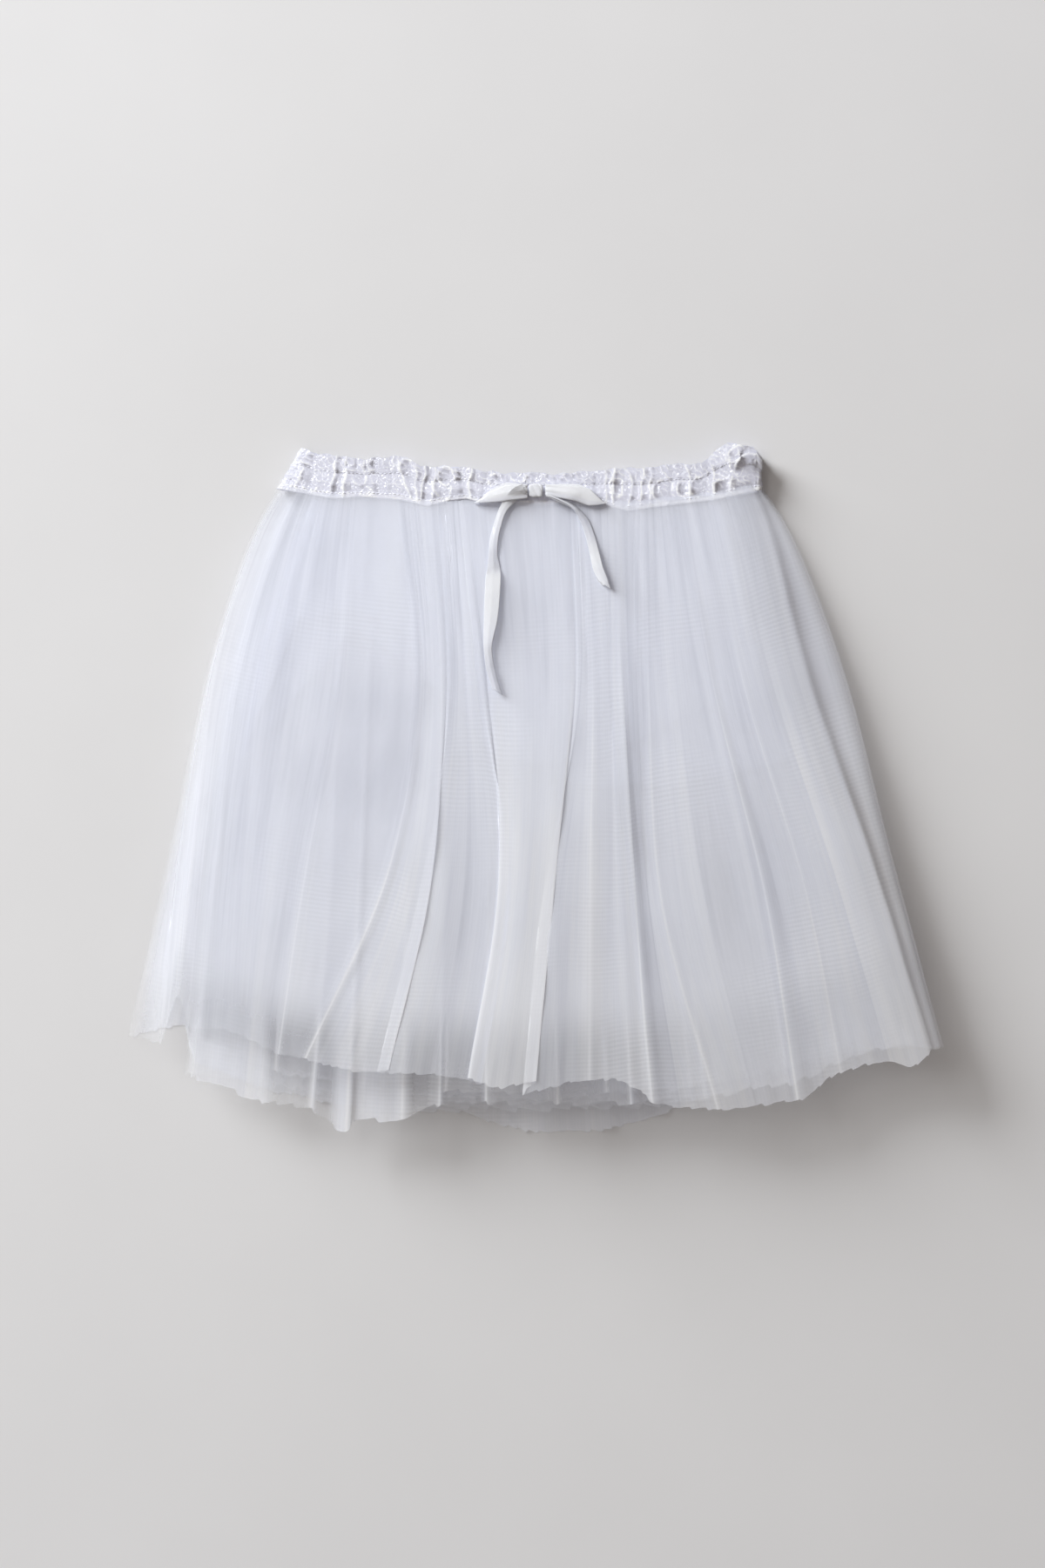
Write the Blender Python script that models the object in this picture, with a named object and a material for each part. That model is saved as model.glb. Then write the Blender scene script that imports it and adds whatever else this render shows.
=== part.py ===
"""Soft tulle tutu skirt lying flat on its back: three pleated tulle tubes over a short lining,
a gathered satin waistband with a frill, and a ribbon bow.

Metres, +Z up. +Y runs from the hem to the waist, +X to the right as seen from above. The origin is
under the middle of the skirt, on the surface that it lies on. The tables below are in millimetres.
"""

import bpy
import bmesh
import numpy as np

MM = 0.001

# Walls and clearances
NET_WALL = 1.0            # a gathered layer of net, taken as one wall
LINING_WALL = 1.0
CHANNEL_WALL = 2.4        # satin, elastic and satin
FRILL_WALL = 1.2          # two layers of satin
RIBBON_WALL = 1.0
CLEAR = 0.35              # between layers that lie on each other
SEAM_GAP = 0.3            # between the waistband and what is sewn to it
SEAM_UNDER = 0.3          # the layers under the outer one end this much lower

# The lie of the skirt
SEAM_MIDDLE = 174.5       # y of the waist seam at its middle
SEAM_RISE = 10.0          # how much higher the seam is at its ends
SEAM_CENTRE = -9.0
SEAM_HALF = 150.0
SKIRT_DROP = 355.0        # seam to hem, down the middle
SIDE_LEFT = -171.0        # straight side lines that the loft dies out at
SIDE_RIGHT = 155.0
FLARE_LEFT = 0.2565
FLARE_RIGHT = 0.3014
SIDE_START = 12.0         # the side lines are measured from this far above the seam
SIDE_PUFF = 6.0           # the sides swell just under the waistband
PUFF_AT = 0.12            # share of the way down where they swell most
PUFF_POWER = 6            # how quickly the swelling dies out towards the middle
STAND_HEIGHT = 17.0       # the right side stands off the surface by this much at the hem
STAND_WIDTH = 110.0       # and over this width
FOLDED_EDGE = 4.0         # height of the folded side of a net layer
FOLDED_ROUND = 1.5
LINING_FOLD = 2.8
LINING_ROUND = 1.0
SIDE_STEPS = (1.0, 0.68, 0.32, 0.0)   # heights of a folded side's four points, as shares of its own
MITRE_LEAST = 0.75        # keeps a wall's corner short where a fold turns sharply

# Pleats
RIDGE_AT_WAIST = 0.5      # a ridge's width there, as a share of its width at the hem
LAP_TIP = 2.6             # thickness of a lapped pleat's edge
LAP_TIP_MOST = 0.40       # and its most, as a share of the pleats' height
LAP_TUCK = 0.8
LAP_TUCK_MOST = 0.12
LAP_OPEN = 6.0            # a lap lies open, as a step this wide, where it starts at the waist
LAP_CLOSES = (0.25, 0.75)  # shares of the way down between which it closes
LAP_SPREAD = 0.33         # how far an open lap's inner points are from its ends

# Loft of each layer at the hem: pleats of the front and of the back, in height
LOFT = {
    "tulle_outer": {"front": 9.0, "back": 2.0},
    "tulle_middle": {"front": 7.0, "back": 1.2},
    "tulle_inner": {"front": 6.0, "back": 1.2},
}
WAIST_PLEAT = 0.5         # what is left of that height at the seam
LOFT_START = 3.0          # the loft begins this far above the seam
LOFT_SLOPE = 1.6          # how fast it begins to grow: a parabola that reaches 1 at the hem
LOFT_END = 1.15           # share of the drop past which it grows no more
SIDE_LOFT = {"front": 0.1, "back": 0.3}   # share of it that is left at the sides
PLEAT_ROOM = 0.45         # room between two layers for the corners of their pleats
ROOM_GROWTH = 4           # that room is whole where the loft is a quarter of its most

# Sides of each tube: x at the waist, a third down, two thirds down and at the hem
SIDES = {
    "tulle_outer": {"left": (-160, -201, -227, -252), "right": (142, 189.5, 221, 251.6)},
    "tulle_middle": {"left": (-152, -190, -206, -217), "right": (131, 162, 202, 238)},
    "tulle_inner": {"left": (-144, -181, -196, -207), "right": (122, 152, 192, 228)},
    "lining": {"left": (-136, -157, -172, -181), "right": (113, 127, 141, 160)},
}

# Folds, left to right. A ridge stands between two bases, a lap_left or lap_right has its left or its
# right panel on top, and a panel is a place between two folds. Heights are shares of the layer's loft.
FOLD = ("kind", "waist", "upper", "lower", "hem", "width", "left", "right", "crest")
OUTER_FRONT = [
    ("flap", -157.5, -198, -219, -231, 0, 0, 0, 1.5),
    ("shoulder", -155, -193, -209, -219.5, 0, 0, 0, 0.5),
    ("panel", -150, -187, -203, -213, 0, 0, 0, 0.75),
    ("panel", -138, -165, -180, -187, 0, 0, 0, 0.45),
    ("ridge", -112, -120, -140, -157, 6, 0.45, 0.40, 0.70),
    ("ridge", -82, -72, -90, -141, 5, 0.45, 0.45, 1.00),
    ("panel", -73, -64, -76, -113, 0, 0, 0, 0.50),
    ("lap_left", -62, -56, -63, -89, 8, 0.90, 0.28, 0),
    ("panel", -50, -43, -43, -60, 0, 0, 0, 0.30),
    ("lap_right", -40, -27.5, -23, -41.5, 9, 0.28, 0.95, 0),
    ("panel", -10, -2, -6, -21, 0, 0, 0, 0.80),
    ("lap_left", 19, 22.7, 12.4, 1, 9, 0.95, 0.30, 0),
    ("ridge", 32, 36, 34, 33, 5, 0.45, 0.40, 0.70),
    ("panel", 42, 46, 49, 52, 0, 0, 0, 0.35),
    ("ridge", 51, 54, 62, 72.4, 5, 0.45, 0.35, 1.00),
    ("panel", 60, 62, 70, 90, 0, 0, 0, 0.35),
    ("ridge", 68, 70, 78, 112, 5, 0.40, 0.45, 0.75),
    ("panel", 78, 88, 105, 136, 0, 0, 0, 0.45),
    ("ridge", 89, 111, 142, 162, 6, 0.50, 0.35, 1.00),
    ("ridge", 105, 129, 164, 187.4, 5, 0.35, 0.45, 0.65),
    ("panel", 118, 146, 184, 218, 0, 0, 0, 0.50),
    ("panel", 127, 157, 196, 231.7, 0, 0, 0, 0.60),
    ("shoulder", 134.5, 166, 207, 242, 0, 0, 0, 0.80),
    ("flap", 137.5, 171, 210.5, 245.5, 0, 0, 0, 0.90),
    ("flap", 139.5, 182, 216, 248.5, 0, 0, 0, 1.3),
]
MIDDLE_FRONT = [
    ("shoulder", -146, -183, -199, -210, 0, 0, 0, 0.5),
    ("panel", -130, -150, -165, -178, 0, 0, 0, 0.3),
    ("ridge", -112, -120, -126, -137, 4, 0.3, 0.2, 1.0),
    ("ridge", -96, -103, -109, -116, 4, 0.2, 0.2, 1.0),
    ("ridge", -72, -76, -79, -81, 4, 0.2, 0.2, 0.9),
    ("ridge", -48, -53, -56, -59, 4, 0.2, 0.2, 1.0),
    ("ridge", -24, -27, -29, -30, 4, 0.2, 0.2, 0.9),
    ("ridge", 4, 8, 11, 14, 5, 0.2, 0.2, 0.8),
    ("ridge", 40, 46, 53, 60, 4, 0.2, 0.2, 1.0),
    ("ridge", 62, 76, 90, 104, 5, 0.2, 0.2, 0.8),
    ("ridge", 84, 108, 134, 156, 5, 0.2, 0.3, 1.0),
    ("panel", 104, 134, 166, 196, 0, 0, 0, 0.3),
    ("shoulder", 125, 155, 195, 231, 0, 0, 0, 0.5),
]
INNER_FRONT = [
    ("shoulder", -138, -174, -189, -200, 0, 0, 0, 0.5),
    ("ridge", -112, -138, -152, -160, 6, 0.2, 0.2, 1.0),
    ("ridge", -76, -90, -99, -105, 6, 0.2, 0.2, 0.8),
    ("ridge", -40, -46, -51, -55, 6, 0.2, 0.2, 1.0),
    ("ridge", -8, -8, -7, -6, 6, 0.2, 0.2, 0.9),
    ("ridge", 24, 29, 36, 44, 6, 0.2, 0.2, 1.0),
    ("ridge", 56, 68, 82, 96, 6, 0.2, 0.2, 0.8),
    ("ridge", 88, 108, 134, 156, 6, 0.2, 0.2, 1.0),
    ("shoulder", 116, 145, 185, 221, 0, 0, 0, 0.5),
]
LINING_FRONT = [
    ("shoulder", -130, -151, -166, -175, 0, 0, 0, 0.5),
    ("panel", -110, -126, -138, -146, 0, 0, 0, 0.9),
    ("panel", -84, -94, -101, -106, 0, 0, 0, 0.3),
    ("panel", -60, -64, -67, -70, 0, 0, 0, 0.2),
    ("panel", -42, -45, -48, -50, 0, 0, 0, 0.8),
    ("panel", -22, -23, -24, -26, 0, 0, 0, 0.8),
    ("panel", 16, 18, 21, 24, 0, 0, 0, 0.4),
    ("panel", 42, 47, 53, 60, 0, 0, 0, 0.9),
    ("panel", 72, 82, 93, 106, 0, 0, 0, 0.2),
    ("shoulder", 107, 121, 135, 154, 0, 0, 0, 0.5),
]
# The back lies on the surface in flats, with a narrow fin where each pleat stands up between them.
BACK_FINS = {
    "tulle_outer": {"count": 11, "width": 4.5, "uneven": 5.0},
    "tulle_middle": {"count": 8, "width": 5.0, "uneven": 6.0},
    "tulle_inner": {"count": 6, "width": 5.0, "uneven": 6.0},
    "lining": {"count": 4, "width": 0.0, "uneven": 4.0},
}
FIN_TOP = 0.45            # half of a fin's top, as a share of half its foot
FIN_HEIGHT = (0.7, 0.3)   # middle and swing of the fins' heights, as shares of the back's pleats
FIN_TURNS = (2.4, 1.7)    # radians from one fin to the next, for its place and for its height
FIN_SHIFT_AT_WAIST = 0.4

# Hems: x and y along each cut edge, left to right
HEMS = {
    "tulle_outer": {
        "front": [
            (-252, -154), (-231, -157), (-219.5, -126), (-213, -147), (-187, -149), (-157, -164),
            (-120, -169), (-113, -174), (-72, -174), (-41, -178), (-8, -187), (1, -179), (62, -178),
            (72, -194), (112, -197), (162, -192), (187, -174), (224, -166), (232, -172), (242, -161),
            (251.6, -160.5),
        ],
        "back": [
            (-252, -154), (-231, -157), (-219.5, -126), (-213, -170), (-162, -188), (-115, -199),
            (-81, -202), (-59, -198), (-32, -204), (-8, -212.5), (9, -214), (32, -214), (59, -208),
            (88, -198), (112, -187), (162, -178), (187, -165), (225, -158), (251.6, -160.5),
        ],
    },
    "tulle_middle": {
        "front": [
            (-217, -176), (-162, -195), (-137, -198), (-125, -207), (-116, -211), (-112, -203),
            (-81, -205), (-59, -193), (19, -194), (84, -193), (112, -189), (162, -181), (187, -166),
            (238, -156),
        ],
        "back": [(-217, -168), (-162, -185), (-81, -196), (0, -200), (84, -196), (162, -176), (238, -152)],
    },
    "tulle_inner": {
        "front": [(-207, -156), (-150, -178), (-80, -186), (0, -188), (80, -187), (160, -172), (228, -148)],
        "back": [(-207, -154), (-150, -175), (-80, -190), (0, -194), (80, -190), (160, -168), (228, -148)],
    },
    "lining": {
        "front": [
            (-181, 20), (-172, 40), (-146, 106), (-84, 110), (-50, 60), (-26, 18), (49, 12), (66, 36),
            (106, 52), (130, 24), (160, 18),
        ],
        "back": [
            (-181, 20), (-172, 38), (-146, 98), (-84, 102), (-50, 54), (-26, 10), (20, 2), (60, 0),
            (120, 4), (160, 16),
        ],
    },
}
ROWS = {"tulle_outer": 9, "tulle_middle": 7, "tulle_inner": 6, "lining": 4}

# Waistband
BAND_LEFT = (-160.0, -145.0)      # x of its left end at the seam and at the frill's edge
BAND_RIGHT = (141.0, 141.0)
BAND_HEIGHT = 12.6
BAND_END = 4.5            # its front ends this far before its folded side
BAND_SIDE = (0.70, 0.30)  # heights of the folded side's two points, as shares of the front's
BAND_DROP = 2.2           # the front comes down by this much at its ends
BAND_DROP_POWER = 12
FRONT_GATHERS = 38
BACK_GATHERS = 24
GATHER_PLACE = {"most": 0.006, "turn": 23.0}    # the front's gathers are unevenly spaced
GATHER_CREST = {"most": 0.25, "turn": 3.1}      # and unevenly high
BACK_GATHER = [(0.0, 0.0), (0.46, 0.0), (0.60, 1.0), (0.86, 1.0)]  # place in its cell and height
BACK_END = 0.01
BAND_EDGE = [
    (-145, 210), (-135, 207), (-113, 203), (-79, 204), (-70, 198.5), (-45, 199), (-32, 195), (9, 193.5),
    (49, 197), (76, 198.5), (103, 201), (110, 206), (119, 212), (135, 211), (141, 203),
]
# Rows across the band: share of the way from seam to edge, bulge, gather height, wall
BAND_ROWS = [
    {"share": 0.00, "bulge": -0.6, "gather": 0.9, "wall": CHANNEL_WALL},
    {"share": 0.30, "bulge": 0.0, "gather": 1.4, "wall": CHANNEL_WALL},
    {"share": 0.62, "bulge": -1.0, "gather": 0.9, "wall": CHANNEL_WALL},
    {"share": 1.00, "bulge": -0.4, "gather": 2.2, "wall": FRILL_WALL},
]
PUFF_X = 127.0            # the frill bunches up into a puff at its right end
PUFF_HALF = 16.0
PUFF_HEIGHT = 4.5
PUFF_EDGE = 4             # power of its bell, flat on top with a steep edge

# Ribbon bow
BOW_CLEAR = 0.4           # between the waistband and the bow
KNOT = {"x": 1.0, "y": 183.0, "half": (5.4, 5.8), "height": 5.8, "rings": 7, "sides": 16}
KNOT_PAD = 0.45           # power that makes it a pad rather than a ball
KNOT_SQUARE = 4           # power of the rounded square that it is from above
KNOT_CREASE = 0.05
LOOP_EDGE = 3.2           # height of a loop's two ends
LOOP_ALONG = (0.0, 0.16, 0.36, 0.58, 0.76, 0.90, 1.0)
LOOP_BULGE = (0.0, 0.35, 0.9, 1.0, 0.8, 0.4, 0.0)
LOOP_ACROSS = (0.0, 0.35, 0.70, 1.0)
LOOP_CROWN = 0.35         # how much less the ribbon's two edges bulge than its middle
LOOPS = {
    "bow_loop_left": {
        "root": -5.2, "reach": (-37.5, -34.0), "rise": 5.0,
        "low": [(0, 178.5), (1, 176.0)],
        "high": [(0, 187.5), (0.6, 184.0), (1, 178.5)],
    },
    "bow_loop_right": {
        "root": 7.2, "reach": (43.7, 41.5), "rise": 5.6,
        "low": [(0, 180.2), (0.5, 175.6), (0.7, 174.0), (1, 175.0)],
        "high": [(0, 188.0), (0.6, 186.0), (1, 179.0)],
    },
}
RIBBON_WIDTH = 10.0
TAIL_STEPS = 3            # rows of the solid for each row of a tail's table
BAND_OVERHANG = 2.0       # below the seam, a tail still lies on the waistband for this far
# Tails, from the knot to the cut end: x, y, turn in degrees from lying flat, and height above what it lies on
TAILS = {
    "bow_tail_left": [
        (-8.2, 184.4, -30, 7.6), (-13.5, 180.0, -38, 7.6), (-19.5, 173.0, -66, 5.8), (-23.6, 163.0, -104, 5.6),
        (-26.8, 150.0, -120, 5.0), (-27.6, 138.5, -132, 4.6), (-26.2, 131.0, -168, 1.8),
        (-25.4, 112.0, -176, 1.0), (-28.2, 95.0, -146, 3.6), (-28.4, 84.0, -96, 5.8), (-25.4, 70.0, -44, 4.4),
        (-22.0, 60.0, -36, 3.8),
    ],
    "bow_tail_right": [
        (8.6, 178.6, -84, 6.0), (15.0, 175.6, -84, 6.0), (23.5, 171.4, -76, 5.8), (30.0, 163.0, -64, 5.4),
        (34.0, 151.0, -58, 5.0), (37.6, 139.0, -48, 4.6), (41.2, 130.0, -66, 5.4), (45.6, 123.0, -86, 5.8),
    ],
}


def clear_scene():
    for thing in list(bpy.data.objects):
        bpy.data.objects.remove(thing, do_unlink=True)


def finish(name, colour, roughness, metallic=0.0, sheen=0.0):
    """A plain Principled material."""
    material = bpy.data.materials.new(name)
    material.use_nodes = True
    shader = material.node_tree.nodes["Principled BSDF"]
    shader.inputs["Base Color"].default_value = (*colour, 1.0)
    shader.inputs["Roughness"].default_value = roughness
    shader.inputs["Metallic"].default_value = metallic
    shader.inputs["Sheen Weight"].default_value = sheen
    return material


def seam_y(x):
    """The waist seam: a shallow arc, higher at its ends."""
    return SEAM_MIDDLE + SEAM_RISE * ((x - SEAM_CENTRE) / SEAM_HALF) ** 2


def loft_share(x, y):
    """How far the layers stand off each other: none at the seam, rising down the skirt and to its middle."""
    down = np.clip((SEAM_MIDDLE + LOFT_START - y) / SKIRT_DROP, 0, LOFT_END)
    left = SIDE_LEFT - FLARE_LEFT * (SEAM_MIDDLE + SIDE_START - y)
    right = SIDE_RIGHT + FLARE_RIGHT * (SEAM_MIDDLE + SIDE_START - y)
    across = np.clip(np.abs((2 * x - left - right) / (right - left)), 0, 1)
    return down * (LOFT_SLOPE - (LOFT_SLOPE - 1) * down), 1 - across ** 2


def smooth(t):
    t = np.clip(t, 0, 1)
    return t * t * (3 - 2 * t)


def stand(x, y):
    """How far the stiff net stands off the surface along its right side, more towards the hem."""
    down = np.clip((SEAM_MIDDLE - y) / SKIRT_DROP, 0, 1)
    right = SIDE_RIGHT + FLARE_RIGHT * (SEAM_MIDDLE + SIDE_START - y)
    return STAND_HEIGHT * down * np.clip((x - right + STAND_WIDTH) / STAND_WIDTH, 0, 1) ** 2


def pleat_height(name, side, x, y):
    """Height from the lowest to the highest place of a layer's pleats."""
    rise, dome = loft_share(x, y)
    if name == "lining":
        return np.full_like(np.asarray(x, float), WAIST_PLEAT if side == "front" else 0.0)
    height = LOFT[name][side] * rise * (SIDE_LOFT[side] + (1 - SIDE_LOFT[side]) * dome)
    return height if side == "back" else WAIST_PLEAT + height


def layer_step(x, y, wall):
    """From one layer's outer face to the next one's: a wall, its clearance, and room at the pleats' corners."""
    rise = loft_share(x, y)[0]
    return wall + CLEAR + PLEAT_ROOM * np.minimum(1, ROOM_GROWTH * rise)


def back_base(name, x, y):
    """Underside of a layer's back, where it lies flat."""
    base = stand(x, y)
    for below in ("tulle_outer", "tulle_middle", "tulle_inner"):
        if name == below:
            return base
        base = base + pleat_height(below, "back", x, y) + layer_step(x, y, NET_WALL)
    return base


def front_base(name, x, y):
    """Upper face of a layer's front at its lowest place."""
    base = back_base("lining", x, y) + 2 * LINING_WALL + CLEAR
    if name == "lining":
        return base
    base = base + pleat_height("lining", "front", x, y)
    for layer in ("tulle_inner", "tulle_middle", "tulle_outer"):
        base = base + layer_step(x, y, NET_WALL)
        if name == layer:
            return base
        base = base + pleat_height(layer, "front", x, y)
    return base


def skirt_top(x, y):
    """The height that no pleat of the outer layer passes."""
    return front_base("tulle_outer", x, y) + pleat_height("tulle_outer", "front", x, y)


def down_the_skirt(places, v):
    """A line through its places at the waist, a third, two thirds and the hem: a Catmull-Rom curve."""
    p = np.array([2 * places[0] - places[1], *places, 2 * places[3] - places[2]], float)
    k = np.minimum((3 * v).astype(int), 2)
    t = 3 * v - k
    a, b, c, d = p[k], p[k + 1], p[k + 2], p[k + 3]
    return b + 0.5 * t * (c - a + t * (2 * a - 5 * b + 4 * c - d + t * (3 * (b - c) + d - a)))


def swell(x, v, side):
    """The sides puff out just under the waistband."""
    bump = (v / PUFF_AT) * np.exp(1 - v / PUFF_AT)
    return x + SIDE_PUFF * bump * np.sign(x) * np.abs(x / side) ** PUFF_POWER


def front_points(name, folds, v):
    """Columns of one layer's front: x, hem x, height share, height above its back if that counts, lap step."""
    columns = []
    for row in folds:
        fold = dict(zip(FOLD, row))
        x = down_the_skirt([fold[key] for key in FOLD[1:5]], v)
        if fold["kind"] in ("panel", "shoulder"):
            columns.append((x, fold["hem"], fold["crest"], None, 0))
        elif fold["kind"] == "flap":
            columns.append((x, fold["hem"], None, FOLDED_EDGE + fold["crest"], 0))
        elif fold["kind"] == "ridge":
            half = fold["width"] * (RIDGE_AT_WAIST + (1 - RIDGE_AT_WAIST) * v)
            for shift, share in ((-1, fold["left"]), (0, fold["crest"]), (1, fold["right"])):
                columns.append((x + shift * half, fold["hem"] + shift * half[-1], share, None, 0))
        else:
            columns += lap_columns(fold, x, v)
    return columns


def lap_columns(fold, x, v):
    """A lapped pleat: the upper panel's edge and its underside, then the tuck and the lower panel."""
    left_on_top = fold["kind"] == "lap_left"
    high, low = (fold["left"], fold["right"]) if left_on_top else (fold["right"], fold["left"])
    way = -1 if left_on_top else 1
    closed = smooth((v - LAP_CLOSES[0]) / (LAP_CLOSES[1] - LAP_CLOSES[0]))
    tuck = x + way * (fold["width"] * closed - LAP_OPEN * (1 - closed))
    inset = LAP_SPREAD * (1 - closed) * (tuck - x)
    points = [(x, high, 0), (x + inset, high, -1), (tuck - inset, low, 1), (tuck, low, 0)]
    columns = [(px, fold["hem"] + px[-1] - x[-1], share, None, step) for px, share, step in points]
    return columns if left_on_top else columns[::-1]


def back_points(name, v):
    """Columns of one layer's back, right to left: flats with a fin between each two."""
    fins = BACK_FINS[name]
    left, right = (down_the_skirt(SIDES[name][side], v) for side in ("left", "right"))
    columns = []
    for i in range(fins["count"]):
        share = (i + 1) / (fins["count"] + 1)
        shift = fins["uneven"] * np.sin(FIN_TURNS[0] * i + len(name))
        x = right + (left - right) * share + shift * (FIN_SHIFT_AT_WAIST + (1 - FIN_SHIFT_AT_WAIST) * v)
        half = fins["width"] * (RIDGE_AT_WAIST + (1 - RIDGE_AT_WAIST) * v)
        if fins["width"] == 0:
            columns.append((x, 0))
            continue
        tall = FIN_HEIGHT[0] + FIN_HEIGHT[1] * np.cos(FIN_TURNS[1] * i)
        for step, height in ((1, 0), (FIN_TOP, tall), (-FIN_TOP, tall), (-1, 0)):
            columns.append((x + step * half, height))
    return columns


def hem_y(name, side, x):
    table = np.array(HEMS[name][side], float)
    return np.interp(x, table[:, 0], table[:, 1])


def rings_of(name, folds):
    """Outer face of a flattened tube, as rows from the waist to the hem: front left to right, then back."""
    v = np.linspace(0, 1, ROWS[name])
    side_x = {side: down_the_skirt(SIDES[name][side], v) for side in ("left", "right")}
    edge = {side: np.abs(down_the_skirt(SIDES["tulle_outer"][side], v)) for side in ("left", "right")}
    corner, tall = (LINING_ROUND, LINING_FOLD) if name == "lining" else (FOLDED_ROUND, FOLDED_EDGE)

    def column(x, hem_x, side):
        reach = np.where(x < 0, edge["left"], edge["right"])
        x = swell(x, v, reach)
        top = seam_y(x[0]) - SEAM_GAP / 2 - (0 if name == "tulle_outer" else SEAM_UNDER)
        return x, top + v * (hem_y(name, side, hem_x) - top)

    points = []
    for x, hem_x, share, above, step in front_points(name, folds, v):
        x, y = column(x, hem_x, "front")
        if above is not None:
            z = back_base(name, x, y) + above
        else:
            height = pleat_height(name, "front", x, y)
            z = front_base(name, x, y) + share * height
            if step < 0:
                z = z - np.minimum(LAP_TIP, LAP_TIP_MOST * height)
            elif step > 0:
                z = z + np.minimum(LAP_TUCK, LAP_TUCK_MOST * height)
        points.append((x, y, z))
    for side, way in (("right", -1), ("left", 1)):
        x, y = column(side_x[side], SIDES[name][side][3], "front")
        base = back_base(name, x, y)
        steps = SIDE_STEPS if side == "right" else SIDE_STEPS[::-1]
        points += [(x + way * corner * (step in (0, 1)), y, base + tall * step) for step in steps]
        if side == "right":
            for x, share in back_points(name, v):
                x, y = column(x, x[-1], "back")
                points.append((x, y, back_base(name, x, y) + share * pleat_height(name, "back", x, y)))
    return np.stack([np.stack(point, axis=-1) for point in points], axis=1)


def inner_face(rings, wall):
    """The other face of the wall: each row's section moved in by its mitred normals, across the skirt."""
    flat = rings[:, :, [0, 2]]
    ahead = np.roll(flat, -1, axis=1) - flat
    ahead /= np.maximum(np.linalg.norm(ahead, axis=2, keepdims=True), 1e-9)
    normal = np.stack([ahead[:, :, 1], -ahead[:, :, 0]], axis=-1)
    before = np.roll(normal, 1, axis=1)
    mitre = (normal + before) / np.maximum(1 + (normal * before).sum(axis=2, keepdims=True), MITRE_LEAST)
    inner = rings.copy()
    inner[:, :, [0, 2]] += np.asarray(wall)[..., None] * mitre
    return inner


def add_solid(name, points, faces, material):
    mesh = bpy.data.meshes.new(name)
    mesh.from_pydata([tuple(point) for point in np.asarray(points, float) * MM], [], faces)
    shape = bmesh.new()
    shape.from_mesh(mesh)
    bmesh.ops.recalc_face_normals(shape, faces=shape.faces)
    shape.to_mesh(mesh)
    shape.free()
    mesh.materials.append(material)
    mesh.shade_smooth()
    thing = bpy.data.objects.new(name, mesh)
    bpy.context.scene.collection.objects.link(thing)
    return thing


def grid_faces(rows, columns, start, around=True):
    """Triangles of a grid of points, with the same diagonal all over."""
    faces = []
    for row in range(rows - 1):
        for column in range(columns if around else columns - 1):
            a = start + row * columns + column
            b = start + row * columns + (column + 1) % columns
            faces += [(a, b, b + columns), (a, b + columns, a + columns)]
    return faces


def add_tube(name, outer, inner, material):
    """A closed wall between two nested grids, joined along both of their open ends."""
    rows, columns = outer.shape[:2]
    count = rows * columns
    faces = grid_faces(rows, columns, 0)
    faces += [face[::-1] for face in grid_faces(rows, columns, count)]
    for row in (0, rows - 1):
        for column in range(columns):
            a = row * columns + column
            b = row * columns + (column + 1) % columns
            ends = [(a, count + a, count + b), (a, count + b, b)]
            faces += ends if row == 0 else [face[::-1] for face in ends]
    points = np.concatenate([outer.reshape(-1, 3), inner.reshape(-1, 3)])
    return add_solid(name, points, faces, material)


def add_layer(name, folds, wall, material):
    outer = rings_of(name, folds)
    return add_tube(name, outer, inner_face(outer, wall), material)


def band_edge_y(x):
    table = np.array(BAND_EDGE, float)
    return np.interp(x, table[:, 0], table[:, 1])


def add_waistband(material):
    """A flattened ring of gathered satin: an elastic channel below and a frill above."""
    front = np.linspace(0, 1, 2 * FRONT_GATHERS + 1)
    front = front + GATHER_PLACE["most"] * np.sin(GATHER_PLACE["turn"] * front) * np.sin(np.pi * front)
    order = np.arange(len(front))
    crest = (order % 2) * (1 - GATHER_CREST["most"] * (1 - np.sin(GATHER_CREST["turn"] * order)))
    cell, lifted = np.array(BACK_GATHER).T
    back = ((np.arange(BACK_GATHERS)[:, None] + cell) / BACK_GATHERS).ravel()
    back = BACK_END + (1 - 2 * BACK_END) * back
    lifted = np.tile(lifted, BACK_GATHERS)
    rows, walls = [], []
    for row in BAND_ROWS:
        share = row["share"]
        left = BAND_LEFT[0] + share * (BAND_LEFT[1] - BAND_LEFT[0])
        right = BAND_RIGHT[0] + share * (BAND_RIGHT[1] - BAND_RIGHT[0])
        span = right - left - 2 * BAND_END
        x = left + BAND_END + span * front
        puff = PUFF_HEIGHT * share * np.exp(-((x - PUFF_X) / PUFF_HALF) ** PUFF_EDGE)
        drop = BAND_DROP * np.abs(2 * front - 1) ** BAND_DROP_POWER
        z = BAND_HEIGHT + row["bulge"] - row["gather"] * (1 - crest) + puff - drop
        side = np.array(BAND_SIDE)
        ring_x = np.concatenate([x, [right, right], right - BAND_END - span * back, [left, left]])
        ring_z = np.concatenate([z, side * z[-1], row["gather"] * lifted, side[::-1] * z[0]])
        low = seam_y(ring_x) + SEAM_GAP / 2
        ring_y = low + share * (band_edge_y(ring_x) - low)
        rows.append(np.stack([ring_x, ring_y, ring_z], axis=-1))
        walls.append(np.full(len(ring_x), row["wall"]))
    outer = np.stack(rows)
    return add_tube("waistband", outer, inner_face(outer, np.stack(walls)), material)


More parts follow.
